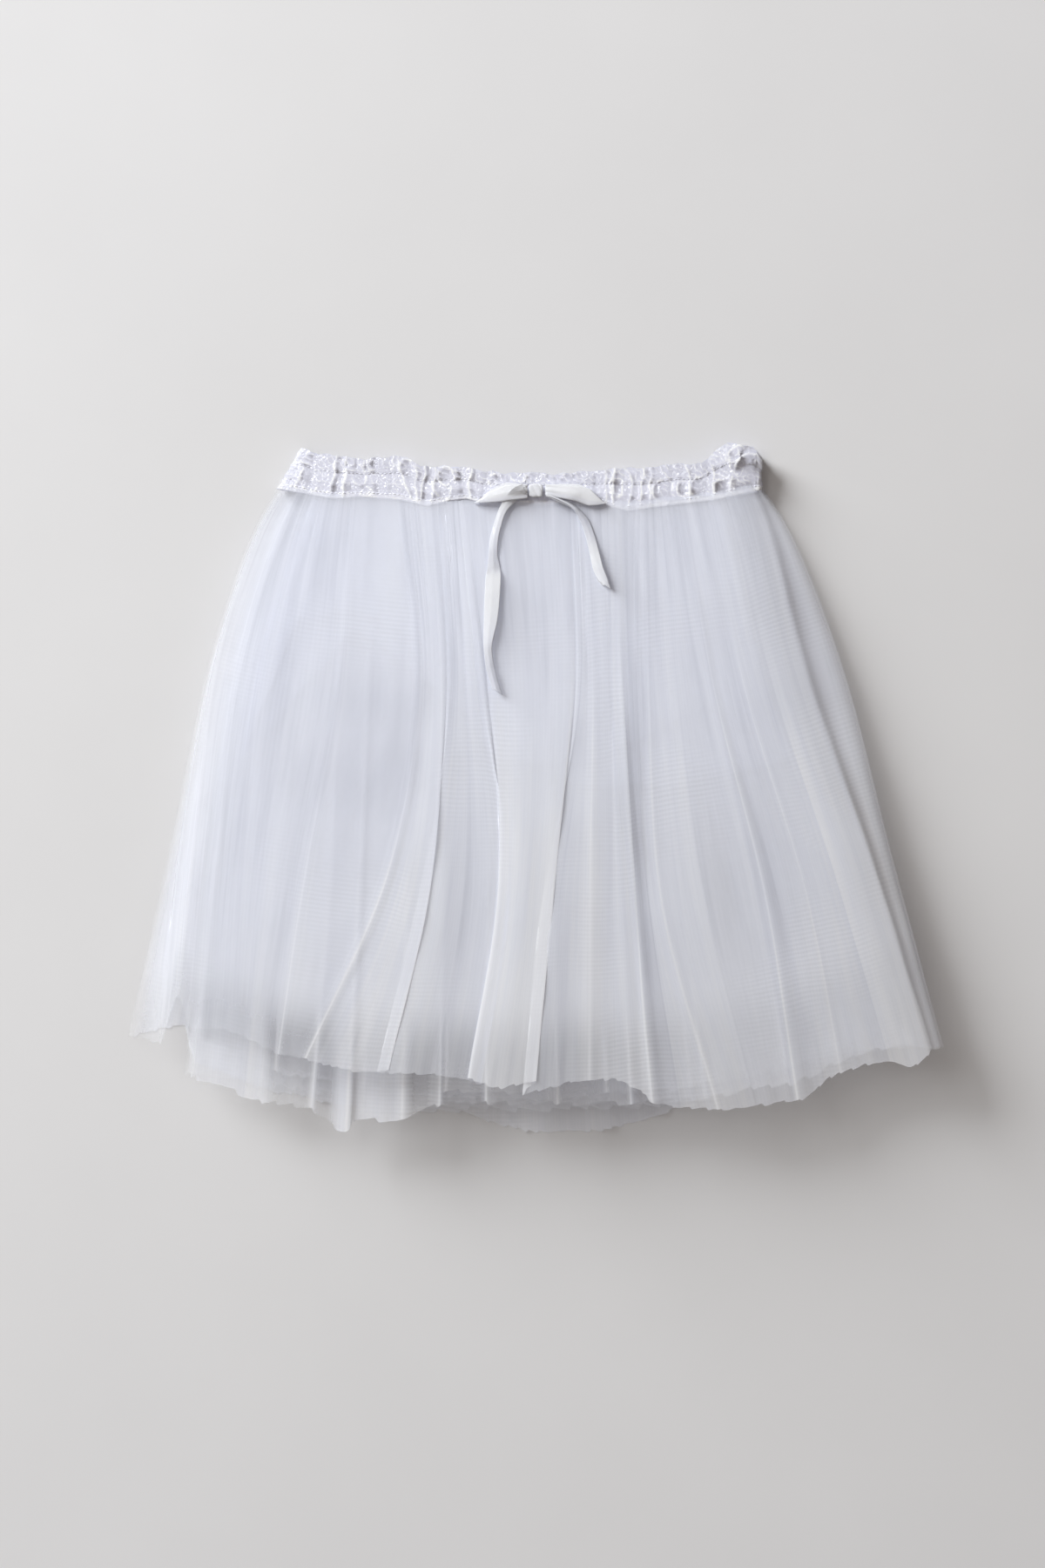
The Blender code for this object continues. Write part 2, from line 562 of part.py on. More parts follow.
def add_loop(name, shape, material):
    """One loop of the bow: a flattened ring of ribbon whose upper strand bulges."""
    along = np.array(LOOP_ALONG + LOOP_ALONG[::-1])
    bulge = np.array(LOOP_BULGE)
    rows = []
    for share in LOOP_ACROSS:
        tip = shape["reach"][0] + share * (shape["reach"][1] - shape["reach"][0])
        x = shape["root"] + along * (tip - shape["root"])
        low = np.interp(along, *np.array(shape["low"], float).T)
        high = np.interp(along, *np.array(shape["high"], float).T)
        crown = 1 - LOOP_CROWN * (2 * share - 1) ** 2
        upper = LOOP_EDGE + (shape["rise"] - LOOP_EDGE) * bulge * crown
        z = BAND_HEIGHT + BOW_CLEAR + np.concatenate([upper, 0 * upper])
        rows.append(np.stack([x, low + share * (high - low), z], axis=-1))
    outer = np.stack(rows)
    if shape["reach"][0] < shape["root"]:
        outer = outer[:, ::-1]
    return add_tube(name, outer, inner_face(outer, RIBBON_WALL), material)


def add_knot(material):
    """The knot: a rounded pad of wrapped ribbon with four soft creases."""
    rings, sides = KNOT["rings"], KNOT["sides"]
    turn = 2 * np.pi * np.arange(sides) / sides
    square = (np.abs(np.cos(turn)) ** KNOT_SQUARE + np.abs(np.sin(turn)) ** KNOT_SQUARE) ** (-1 / KNOT_SQUARE)
    reach = square * (1 - KNOT_CREASE * (1 - np.cos(4 * turn)))
    bottom = BAND_HEIGHT + BOW_CLEAR
    points = [(KNOT["x"], KNOT["y"], bottom)]
    for i in range(1, rings):
        lift = np.pi * i / rings
        wide = np.sin(lift) ** KNOT_PAD * reach
        x = KNOT["x"] + KNOT["half"][0] * wide * np.cos(turn)
        y = KNOT["y"] + KNOT["half"][1] * wide * np.sin(turn)
        z = bottom + KNOT["height"] * 0.5 * (1 - np.cos(lift)) + 0 * turn
        points += list(zip(x, y, z))
    points.append((KNOT["x"], KNOT["y"], bottom + KNOT["height"]))
    last = len(points) - 1
    faces = grid_faces(rings - 1, sides, 1)
    for i in range(sides):
        j = (i + 1) % sides
        faces.append((0, 1 + j, 1 + i))
        faces.append((last, last - sides + i, last - sides + j))
    return add_solid("bow_knot", points, faces, material)


def ribbon_line(rows, count):
    """The tail's rows read as one smooth line, at evenly shared places along it."""
    table = np.array(rows, float)
    t = np.linspace(0, len(table) - 1, count)
    k = np.minimum(t.astype(int), len(table) - 2)
    t = (t - k)[:, None]
    padded = np.vstack([2 * table[0] - table[1], table, 2 * table[-1] - table[-2]])
    a, b, c, d = padded[k], padded[k + 1], padded[k + 2], padded[k + 3]
    return b + 0.5 * t * (c - a + t * (2 * a - 5 * b + 4 * c - d + t * (3 * (b - c) + d - a)))


def add_tail(name, rows, material):
    """A strip of ribbon along its line, turned about it and lying on the waistband and the outer net."""
    line = ribbon_line(rows, TAIL_STEPS * len(rows) - TAIL_STEPS + 1)
    x, y, turn, lift = line.T
    turn = np.radians(turn)
    ground = np.where(y > seam_y(x) - BAND_OVERHANG, BAND_HEIGHT, skirt_top(x, y))
    ground = np.maximum(ground, skirt_top(x, np.minimum(y, SEAM_MIDDLE)))
    ahead = np.gradient(line[:, :2], axis=0)
    ahead /= np.linalg.norm(ahead, axis=1, keepdims=True)
    across = np.stack([-ahead[:, 1], ahead[:, 0]], axis=-1)
    wide = np.stack([across[:, 0] * np.cos(turn), across[:, 1] * np.cos(turn), np.sin(turn)], axis=-1)
    thick = np.stack([-across[:, 0] * np.sin(turn), -across[:, 1] * np.sin(turn), np.cos(turn)], axis=-1)
    middle = np.stack([x, y, ground + lift], axis=-1)
    rings = []
    for width, depth in ((-1, -1), (0, -1), (1, -1), (1, 1), (0, 1), (-1, 1)):
        rings.append(middle + width * wide * RIBBON_WIDTH / 2 + depth * thick * RIBBON_WALL / 2)
    grid = np.stack(rings, axis=1)
    count, sides = grid.shape[:2]
    faces = grid_faces(count, sides, 0)
    faces.append(tuple(range(sides))[::-1])
    faces.append(tuple(range((count - 1) * sides, count * sides)))
    return add_solid(name, grid.reshape(-1, 3), faces, material)


def build():
    clear_scene()
    tulle = finish("white tulle", (0.72, 0.73, 0.80), 0.75, sheen=0.3)
    cotton = finish("bluish white lining", (0.66, 0.69, 0.80), 0.60)
    satin = finish("white satin", (0.80, 0.80, 0.85), 0.34, sheen=0.2)
    ribbon = finish("white satin ribbon", (0.82, 0.82, 0.86), 0.28, sheen=0.2)
    add_layer("tulle_outer", OUTER_FRONT, NET_WALL, tulle)
    add_layer("tulle_middle", MIDDLE_FRONT, NET_WALL, tulle)
    add_layer("tulle_inner", INNER_FRONT, NET_WALL, tulle)
    add_layer("lining", LINING_FRONT, LINING_WALL, cotton)
    add_waistband(satin)
    for name, shape in LOOPS.items():
        add_loop(name, shape, ribbon)
    add_knot(ribbon)
    for name, rows in TAILS.items():
        add_tail(name, rows, ribbon)


build()
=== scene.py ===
import bpy
import numpy as np
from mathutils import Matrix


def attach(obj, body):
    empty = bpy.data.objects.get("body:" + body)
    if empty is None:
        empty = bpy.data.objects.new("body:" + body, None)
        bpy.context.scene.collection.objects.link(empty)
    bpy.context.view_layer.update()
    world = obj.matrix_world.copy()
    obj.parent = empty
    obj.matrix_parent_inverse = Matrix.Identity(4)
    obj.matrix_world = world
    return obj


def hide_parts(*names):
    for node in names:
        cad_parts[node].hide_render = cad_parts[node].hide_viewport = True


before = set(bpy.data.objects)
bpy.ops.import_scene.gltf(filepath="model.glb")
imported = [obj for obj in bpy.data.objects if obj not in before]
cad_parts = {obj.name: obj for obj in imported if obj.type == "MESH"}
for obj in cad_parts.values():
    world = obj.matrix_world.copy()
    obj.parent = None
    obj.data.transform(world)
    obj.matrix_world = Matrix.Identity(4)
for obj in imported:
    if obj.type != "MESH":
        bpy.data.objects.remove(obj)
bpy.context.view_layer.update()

scene = bpy.context.scene
mm = 0.001  # every table and length below is in millimetres, and a mesh gets metres

# the lie of the skirt, as the solids have it
lie = {
    "seamMiddle": 174.5, "seamRise": 10.0, "seamCentre": -9.0, "seamHalf": 150.0,
    "skirtDrop": 355.0, "sideLeft": -171.0, "sideRight": 155.0, "flareLeft": 0.2565, "flareRight": 0.3014,
    "flareFrom": 12.0, "sidePuff": 6.0, "puffAt": 0.12, "wall": 1.0, "clear": 0.35, "settle": 0.45,
    "waistPleat": 0.5, "standHeight": 17.0, "standWidth": 110.0, "foldedEdge": 4.0, "liningEdge": 2.8,
    "lapTip": 1.8, "lapTuck": 0.5, "lapOpen": 6.0, "lapKept": 0.25, "foldKept": 0.6, "flapKept": 0.5,
    "lapEdge": 0.8, "rounding": 1.3, "tuck": 0.022, "tuckAt": 0.012, "tuckMiddle": 6.0, "tuckShare": 0.42,
}
# where the look changes over the cloth, as shares of the way down or in millimetres
fades = {
    "creaseOver": 0.06, "edgeStart": (0.40, 0.12), "edgeOver": 0.35, "edgeFade": 1.2, "fullFrom": 0.12,
    "fullOver": 0.55, "sideReach": 7.0, "sideShares": (1.35, 0.95), "underHeight": 3.0,
}


def smooth(t):
    # three squares less two cubes: an even step from 0 to 1
    t = np.clip(t, 0, 1)
    return t * t * (3 - 2 * t)


def bell(x, power=2):
    # e to the minus the distance to a power: 1 at the middle, dying out on both sides
    return np.exp(-np.abs(x) ** power)


def lookUp(x, table):
    # straight between the rows of a table with two columns
    return np.interp(x, *np.array(table, float).T)


def lengths(vectors):
    # the root of the sum of squares, kept as a last axis of one
    return np.linalg.norm(vectors, axis=-1, keepdims=True)


def unit(vectors):
    # each vector by its length
    return vectors / np.maximum(lengths(vectors), 1e-9)


def seamY(x):
    # a parabola: the waist seam is a shallow arc, higher at its ends
    return lie["seamMiddle"] + lie["seamRise"] * ((x - lie["seamCentre"]) / lie["seamHalf"]) ** 2


def sideLines(y):
    # the sides run straight, further apart on the way down
    down = lie["seamMiddle"] + lie["flareFrom"] - y
    return lie["sideLeft"] - lie["flareLeft"] * down, lie["sideRight"] + lie["flareRight"] * down


def loftShare(x, y):
    # down the skirt a parabola from 0 to 1, and across it 1 less the square of the way to the side
    down = np.clip((lie["seamMiddle"] + 3 - y) / lie["skirtDrop"], 0, 1.15)
    left, right = sideLines(y)
    across = np.clip(np.abs((2 * x - left - right) / (right - left)), 0, 1)
    return down * (1.6 - 0.6 * down), 1 - across ** 2


def stand(x, y):
    # the right side stands off the surface, in proportion to the way down
    down = np.clip((lie["seamMiddle"] - y) / lie["skirtDrop"], 0, 1)
    near = np.clip((x - sideLines(y)[1] + lie["standWidth"]) / lie["standWidth"], 0, 1)
    return lie["standHeight"] * down * near ** 2


def pleatHeight(layer, side, x, y):
    # the loft share times the layer's own pleat height
    rise, dome = loftShare(x, y)
    if layer["name"] == "lining":
        return np.full_like(x, lie["waistPleat"] if side == "front" else 0.0)
    if side == "back":
        return layer["backLoft"] * rise * (0.3 + 0.7 * dome)
    return lie["waistPleat"] + layer["frontLoft"] * rise * (0.1 + 0.9 * dome)


def layerStep(x, y):
    # the way from one layer up to the next: the wall, the gap, and a little more once the pleats have risen
    return lie["wall"] + lie["clear"] + lie["settle"] * np.minimum(1, 4 * loftShare(x, y)[0])


def backBase(layer, x, y):
    # the layers that lie under this one's back, added up
    base = stand(x, y)
    for below in netLayers[:layer["depth"]]:
        base = base + pleatHeight(below, "back", x, y) + layerStep(x, y)
    return base


def frontBase(layer, x, y):
    # the back's layers, the lining, and the fronts that lie under this one's front
    base = backBase(lining, x, y) + 2 * lie["wall"] + lie["clear"]
    if layer["name"] == "lining":
        return base
    base = base + pleatHeight(lining, "front", x, y)
    for below in netLayers[:layer["depth"]:-1]:
        base = base + layerStep(x, y) + pleatHeight(below, "front", x, y)
    return base + layerStep(x, y)


def skirtTop(x, y):
    # where the outer front starts plus its pleat height
    return frontBase(netLayers[0], x, y) + pleatHeight(netLayers[0], "front", x, y)


def throughRows(rows, along):
    # a Catmull-Rom curve through the rows of a table, where along counts rows from the first
    table = np.array(rows, float)
    padded = np.vstack([2 * table[0] - table[1], table, 2 * table[-1] - table[-2]])
    k = np.minimum(along.astype(int), len(table) - 2)
    t = (along - k)[:, None]
    a, b, c, d = padded[k], padded[k + 1], padded[k + 2], padded[k + 3]
    return b + 0.5 * t * (c - a + t * (2 * a - 5 * b + 4 * c - d + t * (3 * (b - c) + d - a)))


def downTheSkirt(places, v):
    # the places are at the waist, a third, two thirds and the hem
    return throughRows([[place] for place in places], 3 * v)[:, 0]


def softNoise(u, v, seed, scale):
    # six slanted sine waves of uneven length and direction, added up to about -1 to 1
    rng = np.random.default_rng(seed)
    total = 0 * u
    for i in range(6):
        turn, phase = rng.uniform(0, np.pi), rng.uniform(0, 2 * np.pi)
        wave = scale * rng.uniform(0.6, 1.7)
        total = total + np.sin(2 * np.pi * (u * np.cos(turn) + v * np.sin(turn)) / wave + phase)
    return total / 3.2


# meshes
def gridMesh(name, points, uv, around=False, marks=None):
    # rows by columns of points, one quad between each four neighbours; uv is the place on the flat cloth
    rows, columns = points.shape[:2]
    mesh = bpy.data.meshes.new(name)
    wide = columns if around else columns - 1
    r, c = np.meshgrid(np.arange(rows - 1), np.arange(wide), indexing="ij")
    corners = [(r, c), (r, c + 1), (r + 1, c + 1), (r + 1, c)]
    loops = np.stack([i * columns + j % columns for i, j in corners], axis=-1).reshape(-1)
    count = (rows - 1) * wide
    mesh.vertices.add(rows * columns)
    mesh.vertices.foreach_set("co", (points * mm).astype(np.float32).ravel())
    mesh.loops.add(4 * count)
    mesh.loops.foreach_set("vertex_index", loops.astype(np.int32))
    mesh.polygons.add(count)
    mesh.polygons.foreach_set("loop_start", np.arange(0, 4 * count, 4, dtype=np.int32))
    mesh.update(calc_edges=True)
    layer = mesh.uv_layers.new(name="cloth")
    places = np.stack([uv[i, j] for i, j in corners], axis=2) * mm
    layer.data.foreach_set("uv", places.astype(np.float32).ravel())
    for key, values in (marks or {}).items():
        mark = mesh.attributes.new(key, "FLOAT", "POINT")
        mark.data.foreach_set("value", values.astype(np.float32).ravel())
    return newPiece(name, mesh)


def newPiece(name, mesh):
    # a smooth-shaded object in the scene
    mesh.shade_smooth()
    piece = bpy.data.objects.new(name, mesh)
    scene.collection.objects.link(piece)
    return piece


def softenNormals(piece, share, dome=(0.0, 0.0, 0.0, 0.0)):
    # threads scatter light whichever way the cloth is turned: each point's own normal is drawn towards that
    # of a wide low dome, upwards on what faces up and downwards on what faces down. The dome's numbers are
    # its slope to the right, its middle, its bend and its slope up
    count = len(piece.data.vertices)
    own, at = np.empty(3 * count, np.float32), np.empty(3 * count, np.float32)
    piece.data.vertex_normals.foreach_get("vector", own)
    piece.data.vertices.foreach_get("co", at)
    own, at = own.reshape(-1, 3), at.reshape(-1, 3)
    lean = [dome[0] * (at[:, 0] - dome[1]) + dome[2] * at[:, 0] ** 2, dome[3] * at[:, 1]]
    drawn = np.stack([*lean, np.clip(4 * own[:, 2], -1, 1)], axis=1)
    piece.data.normals_split_custom_set_from_vertices(unit((1 - share) * own + share * drawn))


def place(piece, slotName, material, *nodes):
    piece.data.materials.append(material)
    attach(piece, "root")
    if nodes:
        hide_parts(*nodes)
    return piece


# materials
class Nodes:
    # a short hand for wiring one material: each call makes a node, sets its values and links its inputs
    def __init__(self, name):
        self.material = bpy.data.materials.new(name)
        self.material.use_nodes = True
        self.tree = self.material.node_tree
        self.shader = self.tree.nodes["Principled BSDF"]

    def add(self, kind, inputs=None, **values):
        node = self.tree.nodes.new(kind)
        for key, value in values.items():
            setattr(node, key, value)
        for key, value in (inputs or {}).items():
            if isinstance(value, bpy.types.NodeSocket):
                self.tree.links.new(value, node.inputs[key])
            else:
                node.inputs[key].default_value = value
        return node

    def math(self, operation, a, b=0.0, c=0.0, clamp=False):
        return self.add("ShaderNodeMath", {0: a, 1: b, 2: c}, operation=operation, use_clamp=clamp).outputs[0]

    def blend(self, a, b, c):
        return self.math("MULTIPLY_ADD", a, b, c)

    def vector(self, operation, a, b=(0.0, 0.0, 0.0), scale=1.0, output="Vector"):
        node = self.add("ShaderNodeVectorMath", {0: a, 1: b, 3: scale}, operation=operation)
        return node.outputs[output]

    def uv(self):
        place = self.add("ShaderNodeUVMap", uv_map="cloth").outputs[0]
        parts = self.add("ShaderNodeSeparateXYZ", {0: place})
        return place, parts.outputs[0], parts.outputs[1]

    def noise(self, where, scale, detail=3.0, roughness=0.55):
        return self.add("ShaderNodeTexNoise", {"Vector": where, "Scale": scale, "Detail": detail,
                                               "Roughness": roughness}).outputs["Fac"]

    def mark(self, name):
        return self.add("ShaderNodeAttribute", attribute_name=name).outputs["Fac"]

    def ramp(self, value, stops):
        node = self.add("ShaderNodeValToRGB", {"Fac": value})
        for stop in stops[2:]:
            node.color_ramp.elements.new(stop[0])
        for element, (place, colour) in zip(node.color_ramp.elements, sorted(stops)):
            element.position = place
            element.color = (*colour, 1.0)
        return node.outputs["Color"]

    def bump(self, height, strength, distance, normal=None):
        inputs = {"Height": height, "Strength": strength, "Distance": distance}
        if normal is not None:
            inputs["Normal"] = normal
        return self.add("ShaderNodeBump", inputs).outputs["Normal"]

    def stretched(self, where, across, along):
        return self.add("ShaderNodeMapping", {"Vector": where, "Scale": (across, along, 1.0)}).outputs[0]

    def scattered(self, share):
        # the normal, drawn towards straight up on what faces up and straight down on what faces down
        own = self.add("ShaderNodeNewGeometry").outputs["Normal"]
        ups = self.vector("DOT_PRODUCT", own, (0.0, 0.0, 1.0), output="Value")
        up = self.add("ShaderNodeCombineXYZ", {2: self.math("SIGN", ups)}).outputs[0]
        drawn = self.vector("SCALE", up, scale=share)
        kept = self.vector("SCALE", own, scale=1.0 - share)
        return self.vector("NORMALIZE", self.vector("ADD", kept, drawn))

    def drive(self, socket, value):
        self.tree.links.new(value, self.shader.inputs[socket])

    def set(self, **values):
        # the shader's own sockets, by name with the spaces left out
        sockets = {socket.name.replace(" ", ""): socket for socket in self.shader.inputs}
        for key, value in values.items():
            sockets[key[0].upper() + key[1:]].default_value = value


netLook = {
    # knitted courses and threads: spacing in millimetres, what they add to the cover, and where they show
    "courseEvery": 2.8, "courseDepth": 0.03, "courseFrom": 0.02, "courseTo": 0.09, "courseBend": 22.0,
    "coursePatch": (0.47, 7.0), "courseRight": (1.6, 0.85), "fanFrom": (-0.0206, 0.726, 0.0),
    "threadEvery": 1.9, "threadDepth": 0.006,
    # streaks down the net: noise scale, stretch, depth
    "streaks": [(150.0, 0.035, 0.09), (34.0, 0.08, 0.20)], "driftDepth": 0.10,
    # what a metre to the right and each mark add to the cover, and its range
    "denser": 0.06, "markCover": {"crease": 0.06, "edge": 0.13, "fullness": 0.13, "side": -0.40, "hem": -1.0},
    "coverRange": (0.05, 0.95),
    # the place on the ramp of colours: base, then what streaks, clouds, marks and the way down add
    # the marks' tone is painted light: painted highlight along a fold's edge, where the net also lies
    # doubled, lighter on a full panel and painted shade on a thin one
    "toneBase": 0.20, "toneStreak": 0.5, "toneCloud": 0.4, "markTone": {"edge": 0.22, "fullness": 0.24},
    "crowded": 0.20, "drop": 0.36,
    # the first colour is the painted shade of a thin panel
    "tones": [(0.0, (0.60, 0.615, 0.69)), (0.90, (0.965, 0.966, 0.992)), (0.34, (0.885, 0.90, 0.975)),
              (0.48, (0.915, 0.93, 0.99)), (0.66, (0.955, 0.96, 0.985))],
    "dome": (0.17, -0.05, 0.6, 0.32), "scatter": 0.86,
}


def netMaterial(name, cover):
    # the cover is more to the right, at a crease and on a full panel, less at a folded side and at the hem,
    # and uneven in long streaks down the net and in drifts. The courses follow arcs about the place that
    # the skirt fans out from, and show in patches
    m = Nodes(name)
    where, u, v = m.uv()
    solid = m.add("ShaderNodeSeparateXYZ", {0: m.add("ShaderNodeTexCoord").outputs["Object"]})
    right = solid.outputs[0]
    flat = m.add("ShaderNodeCombineXYZ", {0: right, 1: solid.outputs[1]}).outputs[0]
    fan = m.vector("DISTANCE", flat, netLook["fanFrom"], output="Value")
    cloud, drift = m.noise(where, 9.0, 2.0), m.math("SUBTRACT", m.noise(where, 14.0, 1.0), 0.5)
    alpha, streaks = m.blend(right, netLook["denser"], cover), []
    for scale, long, depth in netLook["streaks"]:
        streaks.append(m.math("SUBTRACT", m.noise(m.stretched(where, 1.0, long), scale, 3.0, 0.6), 0.5))
        alpha = m.blend(streaks[-1], depth, alpha)
    bend = m.math("MULTIPLY", drift, netLook["courseBend"])
    course = m.math("SINE", m.blend(fan, 2 * np.pi / (netLook["courseEvery"] * mm), bend))
    start, gain = netLook["coursePatch"]
    patch = m.math("MULTIPLY", m.math("SUBTRACT", cloud, start), gain, clamp=True)
    span = netLook["courseTo"] - netLook["courseFrom"]
    low = m.math("DIVIDE", m.math("SUBTRACT", v, netLook["courseFrom"]), span, clamp=True)
    low = m.math("MULTIPLY", low, m.math("MULTIPLY_ADD", right, *netLook["courseRight"], clamp=True))
    patch = m.math("MULTIPLY", patch, m.math("MULTIPLY", low, m.math("SUBTRACT", 1.0, m.mark("side"))))
    alpha = m.blend(course, m.math("MULTIPLY", patch, netLook["courseDepth"]), alpha)
    thread = m.math("SINE", m.math("MULTIPLY", u, 2 * np.pi / (netLook["threadEvery"] * mm)))
    alpha = m.blend(drift, netLook["driftDepth"], m.blend(thread, netLook["threadDepth"], alpha))
    for mark, share in netLook["markCover"].items():
        alpha = m.blend(m.mark(mark), share, alpha)
    least, most = netLook["coverRange"]
    m.drive("Alpha", m.math("MINIMUM", m.math("MAXIMUM", alpha, least), most))
    tone = m.blend(m.math("ADD", *streaks), netLook["toneStreak"], netLook["toneBase"])
    tone = m.blend(cloud, netLook["toneCloud"], tone)
    # darker and cooler towards the waist
    crowded = netLook["crowded"]
    tone = m.math("ADD", tone, m.blend(v, crowded / netLook["drop"], -0.5 * crowded))
    # an edge whitens with painted highlight as well as doubled net, and a thin panel darkens with painted
    # shade
    for mark, share in netLook["markTone"].items():
        tone = m.blend(m.mark(mark), share, tone)
    m.drive("Base Color", m.ramp(tone, netLook["tones"]))
    m.set(roughness=0.62, specularIORLevel=0.2, sheenWeight=0.35, sheenRoughness=0.5)
    return m.material


def liningMaterial():
    # a plain weave: two crossed sine waves, on a bluish white that clouds a little
    m = Nodes("bluish lining")
    where, u, v = m.uv()
    cloud = m.noise(where, 14.0)
    waves = [m.math("SINE", m.math("MULTIPLY", part, 9000.0)) for part in (u, v)]
    weave = m.math("MULTIPLY", *waves)
    m.drive("Base Color", m.ramp(cloud, [(0.3, (0.80, 0.845, 0.97)), (0.7, (0.84, 0.87, 0.97))]))
    m.drive("Roughness", m.blend(weave, 0.06, 0.58))
    m.set(sheenWeight=0.1)
    m.drive("Normal", m.bump(weave, 0.15, 0.0001))
    return m.material


# what both satins share: what the crest mark of painted highlight and shade and the clouds add to the place
# on the ramp, its base and its stops; the two darkest colours are painted shade
satinLook = {"wear": (0.65, 0.2, 0.22), "stops": (0.08, 0.28, 0.36, 0.92), "hollow": 0.86, "shade": 0.95}


def satinMaterial(name, look):
    # long floats along the cloth: a streak noise drives the roughness and a slight bump. The threads below
    # scatter light softly, and the sheen of the floats is a clear layer that follows the real folds
    m = Nodes(name)
    where = m.uv()[0]
    streak = m.noise(m.stretched(where, look["grain"], 60.0), 18.0, 4.0)
    cloud = m.noise(where, 60.0, 2.0)
    # the colour is painted light: the crest mark whitens crests as painted highlight and darkens dents as
    # painted shade, over random clouds
    crest, clouds, base = satinLook["wear"]
    paintedLightTone = m.blend(m.mark("crest"), crest, m.blend(cloud, clouds, base))
    hollow, shade = (tuple(satinLook[key] * c for c in look["tint"]) for key in ("hollow", "shade"))
    colours = (hollow, shade, look["tint"], look["crest"])
    m.drive("Base Color", m.ramp(paintedLightTone, list(zip(satinLook["stops"], colours))))
    m.drive("Roughness", m.blend(m.math("SUBTRACT", streak, 0.5), 0.22, look["roughness"]))
    m.drive("Normal", m.scattered(look["scatter"]))
    height = m.math("ADD", streak, m.math("MULTIPLY", cloud, 0.6))
    floats = m.bump(height, 0.25, 0.0003, m.add("ShaderNodeNewGeometry").outputs["True Normal"])
    scale, deep = look["crinkle"]
    crinkle = m.math("ABSOLUTE", m.math("SUBTRACT", m.noise(where, scale, 1.5, 0.5), 0.5))
    m.drive("Coat Normal", m.bump(crinkle, 1.0, deep, floats))
    m.set(specularIORLevel=0.4, anisotropic=0.35, alpha=look["cover"], coatWeight=look["coat"],
          coatRoughness=look["coatRoughness"], subsurfaceWeight=look["through"],
          subsurfaceScale=look["depth"], subsurfaceRadius=(1.0, 1.0, 1.0))
    return m.material


def mottledMaterial(name, scale, detail, stops, **values):
    # one colour that a noise on the object's own coordinates moves a little
    m = Nodes(name)
    where = m.add("ShaderNodeTexCoord").outputs["Object"]
    m.drive("Base Color", m.ramp(m.noise(where, scale, detail), stops))
    m.set(**values)
    return m.material


# net layers and lining the folds of a front, left to right: x at the waist, a third, two thirds and the
# hem, then the share of the pleat height at the crest, and for a ridge or a lap its width and the shares on
# its left and right. A shoulder is a panel at the side, and a flap lies on the surface. A hem is a list of
# x and y, and sheer of x and share
foldColumns = ("kind", "waist", "upper", "lower", "hem", "crest", "width", "left", "right")
tulleOuter = {
    "name": "tulle_outer", "net": "outer net",
    "depth": 0, "frontLoft": 9.0, "backLoft": 2.0, "rows": 104, "every": 1.35,
    "flat": (1.08, 0.37), "seed": 11, "cover": 0.52, "tooth": 0.8, "toothEvery": 13.0,
    "pleats": [("broad", 24.0, 1.2, 0.42, 2.4), ("fine", 8.5, 0.5, 0.14, 2.4)],
    "left": (-160, -201, -227, -252), "right": (142, 189.5, 221, 251.6),
    "fins": 11, "finWidth": 4.5, "finShift": 5.0,
    "folds": [
        ("flap", -157.5, -198, -219, -231, 1.5),
        ("shoulder", -155, -193, -209, -219.5, 0.5),
        ("panel", -150, -187, -203, -213, 0.75),
        ("panel", -138, -165, -180, -187, 0.45),
        ("ridge", -112, -120, -140, -157, 0.70, 6, 0.45, 0.40),
        ("ridge", -82, -72, -90, -141, 1.00, 5, 0.45, 0.45),
        ("panel", -73, -64, -76, -113, 0.50),
        ("lapLeft", -62, -56, -63, -89, 0, 8, 0.90, 0.28),
        ("panel", -50, -43, -43, -60, 0.30),
        ("lapRight", -40, -27.5, -23, -41.5, 0, 9, 0.28, 0.95),
        ("panel", -10, -2, -6, -21, 0.80),
        ("lapLeft", 19, 22.7, 12.4, 1, 0, 9, 0.95, 0.30),
        ("ridge", 32, 36, 34, 33, 0.70, 5, 0.45, 0.40),
        ("panel", 42, 46, 49, 52, 0.35),
        ("ridge", 51, 54, 62, 72.4, 1.00, 5, 0.45, 0.35),
        ("panel", 60, 62, 70, 90, 0.35),
        ("ridge", 68, 70, 78, 112, 0.75, 5, 0.40, 0.45),
        ("panel", 78, 88, 105, 136, 0.45),
        ("ridge", 89, 111, 142, 162, 1.00, 6, 0.50, 0.35),
        ("ridge", 105, 129, 164, 187.4, 0.65, 5, 0.35, 0.45),
        ("panel", 118, 146, 184, 218, 0.50),
        ("panel", 127, 157, 196, 231.7, 0.60),
        ("shoulder", 134.5, 166, 207, 242, 0.80),
        ("flap", 137.5, 171, 210.5, 245.5, 0.90),
        ("flap", 139.5, 182, 216, 248.5, 1.3),
    ],
    "sheer": [(-230, 0.30), (-190, 0.30), (-100, 0.22), (0, 0.24), (60, 0.20), (120, 0.12), (250, 0.06)],
    "sheerBack": 0.10, "sheerOver": (0.86, 0.14),
    "fullness": [0, -0.2, -0.4, -0.5, -0.3, 0.1, 0.2, 0.1, -0.3, 0.9, 0.8, 0.1, 0.2, 0.4, -0.4, 0.1, 0.3,
                 -0.4, -0.1, 0.1, 0.8, 0.8, 0.8, 0.6, 0.3],
    "frontHem": [
        (-252, -154), (-231, -157), (-219.5, -126), (-213, -147), (-187, -149), (-157, -164), (-120, -169),
        (-113, -174), (-72, -174), (-41, -178), (-8, -187), (1, -179), (62, -178), (72, -194), (112, -197),
        (162, -192), (187, -174), (224, -166), (232, -172), (242, -161), (251.6, -160.5),
    ],
    "backHem": [
        (-252, -154), (-231, -157), (-219.5, -126), (-213, -170), (-162, -188), (-115, -199), (-81, -202),
        (-59, -198), (-32, -204), (-8, -212.5), (9, -214), (32, -214), (59, -208), (88, -198), (112, -187),
        (162, -178), (187, -165), (225, -158), (251.6, -160.5),
    ],
}
